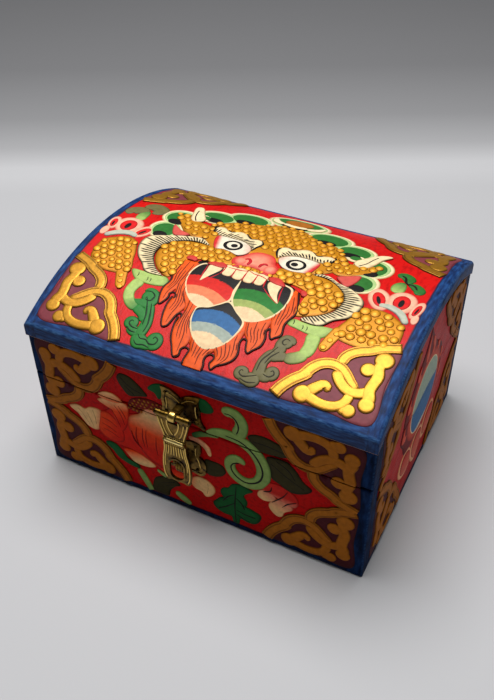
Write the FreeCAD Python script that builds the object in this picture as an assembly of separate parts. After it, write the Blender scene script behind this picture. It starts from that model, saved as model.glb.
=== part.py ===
import FreeCAD, Part
import math
import os

V = FreeCAD.Vector

# A painted wooden keepsake chest with an arched lid, in millimetres. +Z is up and the
# front faces -Y. The origin lies on the floor under the middle of the boards.

# Boards of the base
BODY_WIDTH = 199.0
BODY_DEPTH = 159.0
BASE_HEIGHT = 68.8
WALL = 10.0
CORNER_LAP = 5.0
CORNER_ROUND = 1.6
BOTTOM_THICKNESS = 6.0
BOTTOM_LAP = 5.0
BOTTOM_CLEARANCE = 0.1

# Lid: four boards under one bent top panel
RIM_GAP = 0.5
LID_EDGE_HEIGHT = 34.7
ARCH_RISE = 20.0
TOP_OVERHANG = 0.5
TOP_THICKNESS = 7.5
TOP_ROUND = 2.5
GLUE_LINE = 0.05

# Raised gesso on the top panel. The drawing's first number runs along the chest and its
# second over the arch from the front edge, and both are stretched to fit the panel. The
# corner scrolls start where the painted borders along the panel's edges end.
RELIEF_HEIGHT = 0.9
DRAWING_STRETCH_X = 0.987
DRAWING_STRETCH_ARCH = 0.968
DRAWING_SHIFT_X = 1.9
BORDER_LEFT = 6.161
BORDER_RIGHT = 6.7038
BORDER_FRONT = 5.6144
BORDER_BACK = 6.3815

# Two butt hinges let into the back rims
LID_OPEN_ANGLE = 105.0
HINGE_FROM_END = 38.5
HINGE_LENGTH = 24.0
HINGE_INSET = 2.6
LEAF_WIDTH = 6.6
LEAF_THICKNESS = 1.0
BARREL_RADIUS = 1.6
BARREL_CLEARANCE = 0.3
KNUCKLE_GAP = 0.15
HINGE_PIN_RADIUS = 0.8
PIN_CLEARANCE = 0.05
MORTISE_CLEARANCE = 0.1
SCREW_PLACE = 7.5
SCREW_LENGTH = 7.0
SCREW_RADIUS = 0.7
SCREW_HEAD_RADIUS = 1.4
SCREW_SLOT = 0.35
HOLE_CLEARANCE = 0.04

# Latch on the front: plates, eye, hasp and staple
LATCH_X = -4.4
PLATE_THICKNESS = 1.2
PLATE_RIM_WIDTH = 1.7
PLATE_DISH = 0.5
NAIL_RADIUS = 0.45
NAIL_LENGTH = 6.0
NAIL_HEAD_RADIUS = 0.95
NAIL_CROWN_RADIUS = 0.52
NAIL_HEAD_HEIGHT = 0.6
NAIL_FROM_SIDE = 2.4
UPPER_PLATE_HEIGHT = 21.4
UPPER_PLATE_LIFT = 1.6
UPPER_PLATE_HALF_WIDTH = 11.4
UPPER_NAIL_FROM_TOP = 3.4
UPPER_NAIL_FROM_FOOT = 4.6
LOWER_PLATE_HEIGHT = 25.0
LOWER_PLATE_DROP = 10.2
LOWER_PLATE_HALF_WIDTH = 9.6
LOWER_NAIL_FROM_TOP = 2.6
LOWER_NAIL_FROM_FOOT = 4.4
EYE_RISE = 13.2
EYE_STANDOFF = 9.0
EYE_RADIUS = 2.1
EYE_WIDTH = 4.6
EYE_SHANK = 2.2
CLINCH_LENGTH = 7.0
HASP_PIN_RADIUS = 0.9
HASP_PIN_HEAD_RADIUS = 1.35
HASP_PIN_HEAD_LENGTH = 0.8
HASP_LENGTH = 48.9
HASP_THICKNESS = 1.2
HASP_KNUCKLE_RADIUS = 1.7
HASP_KNUCKLE_HALF_SPAN = 9.8
HASP_EYE_CLEARANCE = 0.35
HASP_CROTCH_DROP = 5.1
HASP_WAIST_HALF_WIDTH = 6.2
HASP_BELL_HALF_WIDTH = 8.4
HASP_RIB_RADIUS = 1.15
HASP_RIB_OVERHANG = 0.2
HASP_RIB_DROP = 17.5
HASP_LIP = 2.4
HASP_HOLE_HALF_WIDTH = 4.2
HASP_HOLE_HEIGHT = 15.0
HASP_HOLE_RIM = 1.1
HASP_HOLE_RIM_HEIGHT = 0.45
STAPLE_DROP = 26.3
STAPLE_HALF_HEIGHT = 4.5
STAPLE_ROD_RADIUS = 0.85
STAPLE_ROD_PITCH = 1.5
STAPLE_RODS = 3
STAPLE_TO_HASP = 0.4
STAPLE_HOLE_CLEARANCE = 0.1

# Worked out from the values above
FRONT = -BODY_DEPTH / 2
BACK = BODY_DEPTH / 2
SIDE = BODY_WIDTH / 2
LID_RIM = BASE_HEIGHT + RIM_GAP
TOP_EDGE = LID_RIM + LID_EDGE_HEIGHT
TOP_SIDE = SIDE + TOP_OVERHANG
TOP_BACK = BACK + TOP_OVERHANG
CROWN = TOP_EDGE + ARCH_RISE
ARCH_RADIUS = (ARCH_RISE ** 2 + TOP_BACK ** 2) / (2 * ARCH_RISE)
ARCH_CENTRE = CROWN - ARCH_RADIUS
UNDER_RADIUS = ARCH_RADIUS - TOP_THICKNESS
ARCH_LENGTH = 2 * ARCH_RADIUS * math.asin(TOP_BACK / ARCH_RADIUS)
HINGE_X = SIDE - HINGE_FROM_END
HINGE_Y = BACK - HINGE_INSET
HINGE_Z = BASE_HEIGHT + RIM_GAP / 2
BEVEL = math.radians(LID_OPEN_ANGLE / 2)
HASP_Y = FRONT - EYE_STANDOFF
HASP_Z = LID_RIM + EYE_RISE
STAPLE_Z = BASE_HEIGHT - STAPLE_DROP


def write(name, shape):
    shape.exportStep(os.path.join("parts", name + ".step"))


def box(x0, x1, y0, y1, z0, z1):
    return Part.makeBox(x1 - x0, y1 - y0, z1 - z0, V(x0, y0, z0))


def rod_x(radius, x0, x1, y, z):
    return Part.makeCylinder(radius, x1 - x0, V(x0, y, z), V(1, 0, 0))


def rod_y(radius, x, y0, y1, z):
    return Part.makeCylinder(radius, y1 - y0, V(x, y0, z), V(0, 1, 0))


def joined(shapes):
    return shapes[0].fuse(shapes[1:]).removeSplitter() if len(shapes) > 1 else shapes[0]


def mirrored_face(y, steps):
    """A face in the plane at y, symmetrical about the latch's middle. The steps run down the
    right half: a point is a straight edge to it, a pair of points an arc through the first."""
    points = [steps[0]]
    edges = []
    for sign in (1, -1):
        here = V(LATCH_X, y, points[0][1])
        for step in steps[1:]:
            stops = [step] if isinstance(step[0], float) else list(step)
            stops = [V(LATCH_X + sign * x, y, z) for x, z in stops]
            if len(stops) == 1:
                edges.append(Part.LineSegment(here, stops[0]).toShape())
            else:
                edges.append(Part.Arc(here, stops[0], stops[1]).toShape())
            here = stops[-1]
    return Part.Face(Part.Wire(Part.__sortEdges__(edges)))


# Boards

def under_arch():
    """Everything below the top panel's hollow side, where the lid's boards end."""
    return rod_x(UNDER_RADIUS - GLUE_LINE, -TOP_SIDE, TOP_SIDE, 0, ARCH_CENTRE)


def rounded_upright(board, y):
    """The board with its two upright outer corners rounded."""
    def outer_corner(edge):
        points = [v.Point for v in edge.Vertexes]
        return (
            len(points) == 2
            and all(abs(abs(p.x) - SIDE) < 1e-6 and abs(p.y - y) < 1e-6 for p in points)
        )
    return board.makeFillet(CORNER_ROUND, [e for e in board.Edges if outer_corner(e)])


def long_board(y, z0, z1):
    """Front or back board, rabbeted at both ends for the side boards."""
    inward = -math.copysign(1, y)
    y_in = y + inward * WALL
    y_lap = y + inward * (WALL - CORNER_LAP)
    board = box(-SIDE, SIDE, min(y, y_in), max(y, y_in), z0, z1)
    board = rounded_upright(board, y)
    for sign in (-1, 1):
        x_in = sign * (SIDE - WALL)
        lap = box(min(x_in, sign * SIDE), max(x_in, sign * SIDE),
                  min(y_lap, y_in), max(y_lap, y_in), z0, z1)
        board = board.cut(lap)
    return board


def side_board(sign, z0, z1):
    """End board, let into the rabbets of the front and back boards."""
    reach = BACK - WALL + CORNER_LAP
    x0, x1 = sorted((sign * SIDE, sign * (SIDE - WALL)))
    return box(x0, x1, -reach, reach, z0, z1)


def bottom_space(clearance):
    half_x = SIDE - WALL + BOTTOM_LAP - clearance
    half_y = BACK - WALL + BOTTOM_LAP - clearance
    return box(-half_x, half_x, -half_y, half_y, 0, BOTTOM_THICKNESS)


def top_panel():
    """Bent board of even thickness over the lid, its upper edge rounded all round."""
    block = box(-TOP_SIDE, TOP_SIDE, -TOP_BACK, TOP_BACK, ARCH_CENTRE, CROWN + 1)
    outer = rod_x(ARCH_RADIUS, -TOP_SIDE, TOP_SIDE, 0, ARCH_CENTRE)
    inner = rod_x(UNDER_RADIUS, -TOP_SIDE, TOP_SIDE, 0, ARCH_CENTRE)
    panel = block.common(outer).cut(inner)

    def upper_edge(edge):
        middle = edge.valueAt((edge.FirstParameter + edge.LastParameter) / 2)
        height = math.hypot(middle.y, middle.z - ARCH_CENTRE)
        return abs(height - ARCH_RADIUS) < 1e-3

    return panel.makeFillet(TOP_ROUND, [e for e in panel.Edges if upper_edge(e)])


def back_bevel(up):
    """Planed slope along a back rim. Base and lid slopes meet when the lid is fully open."""
    reach = HINGE_INSET + 1
    z = HINGE_Z + up * RIM_GAP / 2
    slope = up * reach * math.tan(BEVEL)
    corners = [V(-SIDE, HINGE_Y, z), V(-SIDE, HINGE_Y + reach, z),
               V(-SIDE, HINGE_Y + reach, z + slope)]
    wedge = Part.Face(Part.makePolygon(corners + corners[:1]))
    return wedge.extrude(V(2 * SIDE, 0, 0))


# Raised ornament of the top

def under_panel(x, along):
    """The spot under a place so far along the arch, at the height of the arch's centre."""
    turn = (along - ARCH_LENGTH / 2) / ARCH_RADIUS
    return V(x, ARCH_RADIUS * math.sin(turn), ARCH_CENTRE)


def smooth_run(points):
    """One soft edge through places of the panel, or a straight one between two."""
    spots = [under_panel(*point) for point in points]
    if len(spots) == 2:
        return Part.LineSegment(*spots).toShape()
    curve = Part.BSplineCurve()
    curve.interpolate(spots)
    return curve.toShape()


def upright(runs):
    """Column over an outline of runs that follow each other end to end."""
    face = Part.Face(Part.Wire([smooth_run(run) for run in runs]))
    return face.extrude(V(0, 0, ARCH_RADIUS + 2 * RELIEF_HEIGHT))


def relief(column):
    """What a column cuts out of the gesso coat over the top panel."""
    coat = rod_x(ARCH_RADIUS + RELIEF_HEIGHT, -TOP_SIDE, TOP_SIDE, 0, ARCH_CENTRE)
    coat = coat.cut(rod_x(ARCH_RADIUS + GLUE_LINE, -TOP_SIDE, TOP_SIDE, 0, ARCH_CENTRE))
    return column.common(coat).Solids[0]


def corner_scroll(end, edge):
    """Fretted corner scroll, drawn as lengths along and away from the panel's long edge."""
    corner_x = BORDER_LEFT - TOP_SIDE if end < 0 else TOP_SIDE - BORDER_RIGHT
    corner_along = BORDER_FRONT if edge < 0 else ARCH_LENGTH - BORDER_BACK

    def at(points):
        return [(corner_x - end * p * DRAWING_STRETCH_X,
                 corner_along - edge * q * DRAWING_STRETCH_ARCH) for p, q in points]

    outer_bands = [(51.6, 0.3), (49.2, 8.4), (44.0, 15.4), (40.4, 19.2), (38.2, 23.2), (33.0, 27.0),
                   (28.0, 28.4), (26.8, 33.0), (21.0, 38.8), (15.4, 42.2), (9.0, 45.6), (0.3, 47.8)]
    short_end = [(0.3, 47.8), (0.3, 42.4)]
    inlet = [(0.3, 42.4), (7.0, 40.6), (12.6, 37.2), (17.6, 34.2), (21.0, 30.6), (21.0, 27.0),
             (17.6, 24.4), (13.8, 20.8), (10.4, 19.2), (8.2, 20.6)]
    stem = [(8.2, 20.6), (8.4, 23.6), (12.4, 24.6), (14.3, 28.2), (12.4, 32.0), (9.4, 33.0),
            (8.6, 37.0), (5.0, 39.0), (1.4, 37.6), (1.2, 34.6), (2.6, 30.5), (2.4, 24.0),
            (2.0, 18.0), (1.0, 11.0), (1.2, 6.0), (3.4, 2.8), (7.6, 2.4)]
    foot = [(7.6, 2.4), (9.6, 1.0), (13.0, 0.6), (18.0, 1.2), (25.0, 0.6), (31.0, 1.2),
            (36.6, 1.2), (39.6, 4.6), (38.6, 8.4), (35.0, 11.0), (32.4, 15.4), (28.4, 17.5),
            (25.4, 17.6)]
    channel = [(25.4, 17.6), (25.0, 19.4), (27.4, 21.8), (31.0, 21.0), (34.0, 18.0), (36.0, 14.4),
               (40.0, 10.8), (43.6, 6.0), (45.6, 0.3)]
    long_end = [(45.6, 0.3), (51.6, 0.3)]
    eye_outside = [(18.4, 12.2), (18.0, 8.6), (21.6, 6.0), (26.4, 6.2), (29.2, 7.8)]
    eye_inside = [(29.2, 7.8), (27.4, 9.0), (24.2, 8.6), (22.8, 11.2), (21.2, 13.4), (18.4, 12.2)]
    runs = (outer_bands, short_end, inlet, stem, foot, channel, long_end)
    column = upright([at(run) for run in runs])
    return relief(column.cut(upright([at(eye_outside), at(eye_inside)])))


def lion_head():
    """Forehead, ears, cheeks and muzzle of the lion, as one raised ground."""
    def at(points):
        return [(u * DRAWING_STRETCH_X + DRAWING_SHIFT_X, v * DRAWING_STRETCH_ARCH)
                for u, v in points]

    crown = [(-67.5, 115.5), (-59.0, 113.4), (-50.0, 109.4), (-45.0, 110.5), (-41.0, 115.5),
             (-35.0, 121.8), (-27.0, 127.0), (-17.0, 130.0), (-10.0, 135.5), (-3.0, 138.0),
             (5.0, 136.0), (12.0, 131.0), (22.0, 127.5), (32.0, 123.0), (38.0, 116.5),
             (41.0, 108.4), (50.4, 109.0), (61.5, 111.6)]
    right_cheek = [(61.5, 111.6), (56.0, 100.6), (48.0, 94.4), (43.5, 88.5), (47.0, 83.5),
                   (52.0, 77.5), (53.5, 71.0), (51.6, 65.4), (47.6, 59.6), (41.0, 55.4),
                   (34.0, 53.5)]
    jaw = [(34.0, 53.5), (34.6, 63.0), (33.0, 70.6), (26.0, 74.0), (18.0, 74.5), (8.0, 74.6),
           (-1.5, 73.4), (-11.0, 74.8), (-22.0, 75.0), (-32.0, 74.0), (-38.2, 70.0),
           (-39.5, 62.0), (-41.0, 54.5)]
    left_cheek = [(-41.0, 54.5), (-48.0, 57.0), (-54.0, 63.0), (-57.5, 72.0), (-55.6, 80.0),
                  (-50.0, 86.0), (-46.0, 90.5), (-49.0, 93.6), (-57.0, 101.5), (-67.5, 115.5)]
    return relief(upright([at(run) for run in (crown, right_cheek, jaw, left_cheek)]))


# Hinges

def hinge_mortise(x, up):
    """Room in a back rim for one leaf and the barrel."""
    half = HINGE_LENGTH / 2 + MORTISE_CLEARANCE
    rim = HINGE_Z + up * RIM_GAP / 2
    z0, z1 = sorted((rim, rim + up * LEAF_THICKNESS))
    seat = box(x - half, x + half, HINGE_Y - LEAF_WIDTH - MORTISE_CLEARANCE, BACK, z0, z1)
    barrel = rod_x(BARREL_RADIUS + BARREL_CLEARANCE, x - half, x + half, HINGE_Y, HINGE_Z)
    return seat.fuse(barrel)


def screw_axis_y():
    return HINGE_Y - (LEAF_WIDTH + BARREL_RADIUS + KNUCKLE_GAP) / 2


def hinge_screw(x, up, clearance):
    """Countersunk screw through a leaf into the rim, or with a clearance the hole for it."""
    y = screw_axis_y()
    rim = HINGE_Z + up * RIM_GAP / 2
    taper = SCREW_HEAD_RADIUS - SCREW_RADIUS
    into = V(0, 0, up)
    head = Part.makeCone(SCREW_HEAD_RADIUS + clearance, SCREW_RADIUS + clearance, taper,
                         V(x, y, rim), into)
    shank = Part.makeCylinder(SCREW_RADIUS + clearance, SCREW_LENGTH + clearance,
                              V(x, y, rim), into)
    return head.fuse(shank).removeSplitter()


def screw_slot(x, up):
    rim = HINGE_Z + up * RIM_GAP / 2
    y = screw_axis_y()
    z0, z1 = sorted((rim, rim + up * SCREW_SLOT))
    return box(x - SCREW_HEAD_RADIUS, x + SCREW_HEAD_RADIUS,
               y - SCREW_SLOT / 2, y + SCREW_SLOT / 2, z0, z1)


def screw_places(x):
    return (x - SCREW_PLACE, x + SCREW_PLACE)


def hinge_leaf(x, up):
    """Leaf with its knuckles: two at the ends on the base, one in the middle on the lid."""
    half = HINGE_LENGTH / 2
    third = HINGE_LENGTH / 6
    rim = HINGE_Z + up * RIM_GAP / 2
    z0, z1 = sorted((rim, rim + up * LEAF_THICKNESS))
    plate_end = HINGE_Y - BARREL_RADIUS - KNUCKLE_GAP
    pieces = [box(x - half, x + half, HINGE_Y - LEAF_WIDTH, plate_end, z0, z1)]
    if up > 0:
        spans = [(x - third + KNUCKLE_GAP / 2, x + third - KNUCKLE_GAP / 2)]
    else:
        spans = [(x - half, x - third - KNUCKLE_GAP / 2), (x + third + KNUCKLE_GAP / 2, x + half)]
    for x0, x1 in spans:
        pieces.append(box(x0, x1, plate_end, HINGE_Y, z0, z1))
        pieces.append(rod_x(BARREL_RADIUS, x0, x1, HINGE_Y, HINGE_Z))
    leaf = joined(pieces)
    leaf = leaf.cut(rod_x(HINGE_PIN_RADIUS + PIN_CLEARANCE, x - half, x + half, HINGE_Y, HINGE_Z))
    for place in screw_places(x):
        leaf = leaf.cut(hinge_screw(place, up, HOLE_CLEARANCE))
    return leaf


# Latch

def nail(x, z, clearance):
    """Round-headed nail through a latch plate, or with a clearance the hole for its shank."""
    shank = rod_y(NAIL_RADIUS + clearance, x, FRONT - PLATE_THICKNESS,
                  FRONT + NAIL_LENGTH + clearance, z)
    if clearance:
        return shank
    top = FRONT - PLATE_THICKNESS
    head = Part.makeCone(NAIL_HEAD_RADIUS, NAIL_CROWN_RADIUS, NAIL_HEAD_HEIGHT,
                         V(x, top, z), V(0, -1, 0))
    return head.fuse(shank).removeSplitter()


def plate(steps, nails):
    """Pressed plate lying on the front, its field dished inside a raised rim."""
    face = mirrored_face(FRONT, steps)
    blank = face.extrude(V(0, -PLATE_THICKNESS, 0))
    field = face.makeOffset2D(-PLATE_RIM_WIDTH)
    dish = field.extrude(V(0, -PLATE_DISH, 0))
    dish.translate(V(0, PLATE_DISH - PLATE_THICKNESS, 0))
    blank = blank.cut(dish)
    for x, z in nails:
        pad = rod_y(NAIL_HEAD_RADIUS, x, FRONT - PLATE_THICKNESS, FRONT, z)
        blank = blank.fuse(pad).cut(nail(x, z, HOLE_CLEARANCE))
    return blank.removeSplitter()


def placed(shares, half, low, height):
    """Outline steps given as shares of a plate's half width and height, put at their size."""
    def point(share):
        return (half * share[0], low + height * share[1])
    return [
        point(step) if isinstance(step[0], float) else tuple(point(p) for p in step)
        for step in shares
    ]


def upper_plate_outline():
    """Two upright lobes with a notch between them, and two tips that spread below."""
    shares = [
        (0.0, 0.785),
        ((0.45, 0.958), (1.0, 1.0)),
        ((0.94, 0.79), (1.018, 0.58)),
        ((0.965, 0.393), (1.21, 0.056)),
        ((1.184, 0.01), (1.105, 0.0)),
        ((0.7, 0.103), (0.368, 0.112)),
        ((0.175, 0.075), (0.0, 0.0)),
    ]
    return placed(shares, UPPER_PLATE_HALF_WIDTH, LID_RIM + UPPER_PLATE_LIFT, UPPER_PLATE_HEIGHT)


def nail_places(half, low, high):
    across = half - NAIL_FROM_SIDE
    return [(LATCH_X + sign * across, z) for sign in (-1, 1) for z in (high, low)]


def upper_plate_nails():
    foot = LID_RIM + UPPER_PLATE_LIFT
    top = foot + UPPER_PLATE_HEIGHT
    return nail_places(UPPER_PLATE_HALF_WIDTH, foot + UPPER_NAIL_FROM_FOOT,
                       top - UPPER_NAIL_FROM_TOP)


def lower_plate_outline():
    """Narrow shoulders, a nicked waist and a wide scalloped foot."""
    shares = [
        (0.0, 0.96),
        ((0.5, 1.016), (1.0, 1.0)),
        ((1.073, 0.84), (0.917, 0.624)),
        ((1.27, 0.48), (1.292, 0.24)),
        ((1.208, 0.096), (0.833, 0.032)),
        ((0.45, 0.064), (0.0, 0.0)),
    ]
    low = BASE_HEIGHT - LOWER_PLATE_DROP - LOWER_PLATE_HEIGHT
    return placed(shares, LOWER_PLATE_HALF_WIDTH, low, LOWER_PLATE_HEIGHT)


def lower_plate_nails():
    top = BASE_HEIGHT - LOWER_PLATE_DROP
    foot = top - LOWER_PLATE_HEIGHT
    return nail_places(LOWER_PLATE_HALF_WIDTH, foot + LOWER_NAIL_FROM_FOOT,
                       top - LOWER_NAIL_FROM_TOP)


def eye_shank(clearance):
    half_x = EYE_WIDTH / 2 + clearance
    half_z = EYE_SHANK / 2 + clearance
    return box(LATCH_X - half_x, LATCH_X + half_x, HASP_Y, FRONT + WALL,
               HASP_Z - half_z, HASP_Z + half_z)


def hasp_eye():
    """Strap folded round the hasp's pin, its two ends clinched inside the lid."""
    inside = FRONT + WALL
    fold = EYE_SHANK / 2
    half = EYE_WIDTH / 2
    pieces = [
        rod_x(EYE_RADIUS, LATCH_X - half, LATCH_X + half, HASP_Y, HASP_Z),
        eye_shank(0),
        box(LATCH_X - half, LATCH_X + half, inside, inside + fold,
            HASP_Z - CLINCH_LENGTH, HASP_Z + CLINCH_LENGTH),
    ]
    bore = rod_x(HASP_PIN_RADIUS + PIN_CLEARANCE, LATCH_X - half, LATCH_X + half, HASP_Y, HASP_Z)
    return joined(pieces).cut(bore)


def hasp_pin():
    half = HASP_KNUCKLE_HALF_SPAN
    ends = half + HASP_PIN_HEAD_LENGTH
    return joined([
        rod_x(HASP_PIN_RADIUS, LATCH_X - ends, LATCH_X + ends, HASP_Y, HASP_Z),
        rod_x(HASP_PIN_HEAD_RADIUS, LATCH_X - ends, LATCH_X - half, HASP_Y, HASP_Z),
        rod_x(HASP_PIN_HEAD_RADIUS, LATCH_X + half, LATCH_X + ends, HASP_Y, HASP_Z),
    ])


def hasp_outline():
    """Two arms down from the pin, a waist at the rib, then a bell with a scalloped end."""
    span = HASP_KNUCKLE_HALF_SPAN
    gap = EYE_WIDTH / 2 + HASP_EYE_CLEARANCE
    waist = HASP_WAIST_HALF_WIDTH
    bell = HASP_BELL_HALF_WIDTH
    crotch = HASP_Z - HASP_CROTCH_DROP
    rib = HASP_Z - HASP_RIB_DROP
    arm = HASP_RIB_DROP
    drop = HASP_LENGTH - HASP_RIB_DROP
    return [
        (0.0, crotch),
        (gap, crotch),
        (gap, HASP_Z),
        (span, HASP_Z),
        (span, HASP_Z - HASP_KNUCKLE_RADIUS),
        ((span * 0.87, HASP_Z - arm * 0.4), (span * 0.735, HASP_Z - arm * 0.66)),
        ((waist * 1.05, rib + arm * 0.17), (waist, rib)),
        ((waist * 1.08, rib - drop * 0.26), (bell * 0.98, rib - drop * 0.52)),
        ((bell * 1.035, rib - drop * 0.71), (bell * 0.95, rib - drop * 0.917)),
        ((bell * 0.86, rib - drop * 0.984), (bell * 0.64, rib - drop)),
        ((bell * 0.3, rib - drop * 0.978), (0.0, rib - drop)),
    ]


def hasp_hole(y, rim, depth):
    """Oval through the bell: round at the top, flatter at the bottom."""
    half = HASP_HOLE_HALF_WIDTH + rim
    low = HASP_Z - HASP_LENGTH + HASP_LIP - rim
    top = HASP_Z - HASP_LENGTH + HASP_LIP + HASP_HOLE_HEIGHT + rim
    face = mirrored_face(y, [
        (0.0, top),
        ((half * 0.75, top - half * 0.42), (half, top - half)),
        (half, low + half * 0.8),
        ((half * 0.72, low + half * 0.25), (0.0, low)),
    ])
    return face.extrude(V(0, depth, 0))


def hasp():
    """Hanging leaf with two knuckles on the pin, a rib and a rimmed hole for the staple."""
    face_y = HASP_Y - HASP_THICKNESS / 2
    back_y = HASP_Y + HASP_THICKNESS / 2
    span = HASP_KNUCKLE_HALF_SPAN
    gap = EYE_WIDTH / 2 + HASP_EYE_CLEARANCE
    rib_z = HASP_Z - HASP_RIB_DROP
    rib_half = HASP_WAIST_HALF_WIDTH + HASP_RIB_OVERHANG
    leaf = mirrored_face(face_y, hasp_outline()).extrude(V(0, HASP_THICKNESS, 0))
    rib = rod_x(HASP_RIB_RADIUS, LATCH_X - rib_half, LATCH_X + rib_half, face_y, rib_z)
    rib = rib.common(box(LATCH_X - span, LATCH_X + span, face_y - HASP_RIB_RADIUS, back_y,
                         rib_z - HASP_RIB_RADIUS, rib_z + HASP_RIB_RADIUS))
    pieces = [
        leaf,
        rib,
        rod_x(HASP_KNUCKLE_RADIUS, LATCH_X - span, LATCH_X - gap, HASP_Y, HASP_Z),
        rod_x(HASP_KNUCKLE_RADIUS, LATCH_X + gap, LATCH_X + span, HASP_Y, HASP_Z),
        hasp_hole(face_y - HASP_HOLE_RIM_HEIGHT, HASP_HOLE_RIM, HASP_HOLE_RIM_HEIGHT),
    ]
    through = HASP_THICKNESS + HASP_HOLE_RIM_HEIGHT
    body = joined(pieces).cut(hasp_hole(face_y - HASP_HOLE_RIM_HEIGHT, 0, through))
    bore = rod_x(HASP_PIN_RADIUS + PIN_CLEARANCE, LATCH_X - span, LATCH_X + span, HASP_Y, HASP_Z)
    return body.cut(bore)


def staple_leg_holes(clearance):
    """Slots through plate and board for the staple's two rows of legs."""
    half_x = (STAPLE_RODS - 1) * STAPLE_ROD_PITCH / 2 + STAPLE_ROD_RADIUS + clearance
    half_z = STAPLE_ROD_RADIUS + clearance
    slots = []
    for sign in (-1, 1):
        z = STAPLE_Z + sign * STAPLE_HALF_HEIGHT
        slots.append(box(LATCH_X - half_x, LATCH_X + half_x, FRONT - PLATE_THICKNESS,
                         FRONT + WALL, z - half_z, z + half_z))
    return Part.makeCompound(slots)


def staple():
    """Rods lying side by side, bent to a U, their legs through the board and clinched."""
    radius = STAPLE_ROD_RADIUS
    tip = HASP_Y + HASP_THICKNESS / 2 + STAPLE_TO_HASP
    bend = tip + radius + STAPLE_HALF_HEIGHT
    clinch_y = FRONT + WALL + radius
    rods = []
    for index in range(STAPLE_RODS):
        x = LATCH_X + (index - (STAPLE_RODS - 1) / 2) * STAPLE_ROD_PITCH
        ring = Part.Circle(V(x, bend, STAPLE_Z + STAPLE_HALF_HEIGHT), V(0, 1, 0), radius)
        disc = Part.Face(Part.Wire(ring.toShape()))
        rods.append(disc.revolve(V(x, bend, STAPLE_Z), V(1, 0, 0), 180))
        for sign in (-1, 1):
            z = STAPLE_Z + sign * STAPLE_HALF_HEIGHT
            rods.append(rod_y(radius, x, bend, clinch_y, z))
            rods.append(Part.makeSphere(radius, V(x, clinch_y, z)))
            rods.append(Part.makeCylinder(radius, CLINCH_LENGTH, V(x, clinch_y, z),
                                          V(0, 0, sign)))
    return joined(rods)


def latch_holes_in_lid():
    cuts = [nail(x, z, HOLE_CLEARANCE) for x, z in upper_plate_nails()]
    cuts.append(eye_shank(HOLE_CLEARANCE))
    return Part.makeCompound(cuts)


def latch_holes_in_base():
    cuts = [nail(x, z, HOLE_CLEARANCE) for x, z in lower_plate_nails()]
    cuts.append(staple_leg_holes(STAPLE_HOLE_CLEARANCE))
    return Part.makeCompound(cuts)


# Assembly, one file per piece

os.makedirs("parts", exist_ok=True)
hinge_xs = {"left": -HINGE_X, "right": HINGE_X}

base_front = long_board(FRONT, 0, BASE_HEIGHT).cut(bottom_space(0)).cut(latch_holes_in_base())
base_back = long_board(BACK, 0, BASE_HEIGHT).cut(bottom_space(0)).cut(back_bevel(-1))
lid_front = long_board(FRONT, LID_RIM, CROWN).common(under_arch()).cut(latch_holes_in_lid())
lid_back = long_board(BACK, LID_RIM, CROWN).common(under_arch()).cut(back_bevel(1))
for x in hinge_xs.values():
    base_back = base_back.cut(hinge_mortise(x, -1))
    lid_back = lid_back.cut(hinge_mortise(x, 1))
    for place in screw_places(x):
        base_back = base_back.cut(hinge_screw(place, -1, HOLE_CLEARANCE))
        lid_back = lid_back.cut(hinge_screw(place, 1, HOLE_CLEARANCE))

write("base_front_board", base_front)
write("base_back_board", base_back)
write("base_bottom_board", bottom_space(BOTTOM_CLEARANCE))
write("lid_front_board", lid_front)
write("lid_back_board", lid_back)
write("lid_top_panel", top_panel())
write("lion_head_relief", lion_head())
for depth, edge in (("front", -1), ("back", 1)):
    for side, end in (("left", -1), ("right", 1)):
        write(f"{depth}_{side}_scroll_relief", corner_scroll(end, edge))
for side, sign in (("left", -1), ("right", 1)):
    base_side = side_board(sign, 0, BASE_HEIGHT).cut(bottom_space(0))
    write(f"base_{side}_board", base_side)
    write(f"lid_{side}_end", side_board(sign, LID_RIM, CROWN).common(under_arch()))

for side, x in hinge_xs.items():
    half = HINGE_LENGTH / 2
    write(f"{side}_hinge_base_leaf", hinge_leaf(x, -1))
    write(f"{side}_hinge_lid_leaf", hinge_leaf(x, 1))
    write(f"{side}_hinge_pin", rod_x(HINGE_PIN_RADIUS, x - half, x + half, HINGE_Y, HINGE_Z))

for name, up in (("hinge_base_screws", -1), ("hinge_lid_screws", 1)):
    screws = []
    for x in hinge_xs.values():
        for place in screw_places(x):
            screws.append(hinge_screw(place, up, 0).cut(screw_slot(place, up)))
    write(name, Part.makeCompound(screws))

upper_plate = plate(upper_plate_outline(), upper_plate_nails())
lower_plate = plate(lower_plate_outline(), lower_plate_nails())
write("hasp_plate", upper_plate.cut(eye_shank(HOLE_CLEARANCE)))
write("staple_plate", lower_plate.cut(staple_leg_holes(STAPLE_HOLE_CLEARANCE)))
write("hasp_plate_nails", Part.makeCompound([nail(x, z, 0) for x, z in upper_plate_nails()]))
write("staple_plate_nails", Part.makeCompound([nail(x, z, 0) for x, z in lower_plate_nails()]))
write("hasp_eye", hasp_eye())
write("hasp_pin", hasp_pin())
write("hasp", hasp())
write("latch_staple", staple())
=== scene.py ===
import math

import bmesh
import bpy
import numpy as np
from mathutils import Matrix, Vector


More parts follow.
